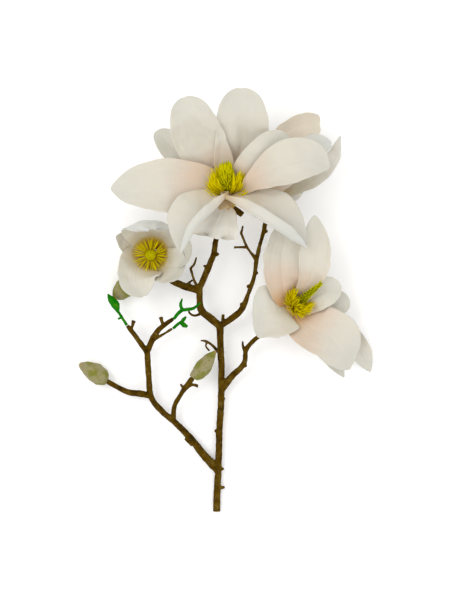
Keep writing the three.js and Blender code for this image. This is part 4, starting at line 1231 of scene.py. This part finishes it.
def add_bloom(name, bloom, seed):
    heart = at(*bloom["heart"])
    axis = unit(vec(*bloom["axis"]))
    node = f"{name}_bloom_tepals"
    neck = grown_from(bloom["twig"], [heart - axis * NECK, heart])
    receptacle = new_piece(f"{name}_bloom_receptacle",
                           *stick(neck, bloom["receptacle"], sides=32, step=0.5, lumps=0.05),
                           MATERIALS["tan_receptacle"])
    finished(receptacle, node)
    ring = bloom["receptacle"][-1] - CLAW_INSET
    for i, (side, shape) in enumerate(bloom["tepals"].items()):
        material = MATERIALS[shape.get("finish", bloom.get("finish", "ivory_tepal"))]
        petal = tepal(f"{name}_bloom_tepal_{side}", heart, axis, ring, shape, seed + i, material)
        finished(petal, node)
    stamens(name, heart, axis, bloom["stamens"])
    foot = heart + axis * (SEAT_GAP * 2 + bloom["stamens"]["core"][1])
    pistil(name, foot, axis, bloom["pistil"])


def add_bud(name, bud):
    """A felted bud: a soft body under a coat of short hairs that lie towards its tip."""
    points = grown_from(bud["twig"], along_layout(bud["spine"]))
    node = f"{name}_felted_bud"
    body = new_piece(node, *stick(points, bud["radii"], sides=48, step=0.4), MATERIALS["felt"])
    roughened(body, BUD_RELIEF)
    hairs = grown(f"{name}_felted_bud_hairs", COVER, {
        "Piece": HAIR, "Material": MATERIALS["hair"], "Density": HAIRS_PER_M2, "Length": 1.1 * MM,
        "Spread": 0.35, "Grain": tuple(unit(points[-1] - points[0])), "Flatness": 2.2, "Seed": 2,
    }, body)
    finished(body, node)
    finished(hairs, node)


def add_shoot(name, shoot):
    """A green shoot: its first stick sits on the twig end, the others grow out of it."""
    (spine, radii), *rest = shoot["sticks"]
    parts = [stick(grown_from(shoot["twig"], along_layout(spine)), radii, step=0.4)]
    parts += [stick(along_layout(spine), radii, step=0.4) for spine, radii in rest]
    piece = new_piece(name, *joined(parts), MATERIALS["green"])
    melted(piece, SHOOT_VOXEL)
    roughened(piece, SHOOT_RELIEF)
    finished(piece, name)


woody_branch()
for number, (name, bloom) in enumerate(BLOOMS.items()):
    add_bloom(name, bloom, 10 * number)
for name, bud in FELTED_BUDS.items():
    add_bud(name, bud)
for name, shoot in SHOOTS.items():
    add_shoot(name, shoot)
for piece in (NEEDLE, STYLE, SPECK, HAIR):
    bpy.data.objects.remove(piece)


# ---- table, lights and camera ----------------------------

TABLE_HALF = 3                # metres
TABLE_DROP = 0.3 * MM
TABLE_GLOW = 0.16             # keeps the table white where the branch shades it
AMBIENCE = 0.76               # brightness of the studio all round
VIEW_DEPTH = 10               # metres


def add_table():
    corners = [(x * TABLE_HALF, y * TABLE_HALF, -TABLE_DROP) for x, y in ((-1, -1), (1, -1), (1, 1), (-1, 1))]
    mesh = bpy.data.meshes.new("table")
    mesh.from_pydata(corners, [], [(0, 1, 2, 3)])
    table = bpy.data.objects.new("table", mesh)
    bpy.context.scene.collection.objects.link(table)
    look = Surface("table_white", roughness=0.9, gloss=0.1)
    look.set({"Emission Color": (1, 1, 1, 1), "Emission Strength": TABLE_GLOW})
    mesh.materials.append(look.painted((0.93, 0.93, 0.93, 1)))


def soft_light(name, place, size, power, colour):
    """A large square light that faces the middle of the branch."""
    light = bpy.data.lights.new(name, "AREA")
    light.shape = "SQUARE"
    light.size = size
    light.energy = power
    light.color = colour
    lamp = bpy.data.objects.new(name, light)
    lamp.location = place
    lamp.rotation_euler = (-Vector(place)).to_track_quat("-Z", "Y").to_euler()
    bpy.context.scene.collection.objects.link(lamp)


def add_camera():
    """Looks straight down, with the layout grid filling its frame."""
    lens = bpy.data.cameras.new("camera")
    lens.sensor_fit = "VERTICAL"
    lens.sensor_height = SENSOR
    lens.lens = SENSOR * GRID_EYE / (FRAME_SQUARES * GRID)
    lens.clip_end = VIEW_DEPTH
    camera = bpy.data.objects.new("camera", lens)
    below = at(CAMERA_U, CAMERA_V, 0)
    camera.location = (below[0] * MM, below[1] * MM, GRID_EYE * MM)
    bpy.context.scene.collection.objects.link(camera)
    bpy.context.scene.camera = camera


add_table()
soft_light("key_light", place=(-1.1, 0.6, 1.9), size=1.1, power=14.5, colour=(1.0, 0.985, 0.965))
soft_light("front_light", place=(0.2, -1.4, 1.8), size=1.8, power=11, colour=(1.0, 0.99, 0.98))
soft_light("side_light", place=(1.5, 0.4, 1.7), size=1.8, power=8, colour=(1.0, 0.99, 0.98))
add_camera()

world = bpy.data.worlds.new("studio")
world.use_nodes = True
backdrop = world.node_tree.nodes["Background"].inputs
backdrop["Color"].default_value = (1, 1, 1, 1)
backdrop["Strength"].default_value = AMBIENCE
bpy.context.scene.world = world
bpy.context.scene.view_settings.view_transform = "Standard"
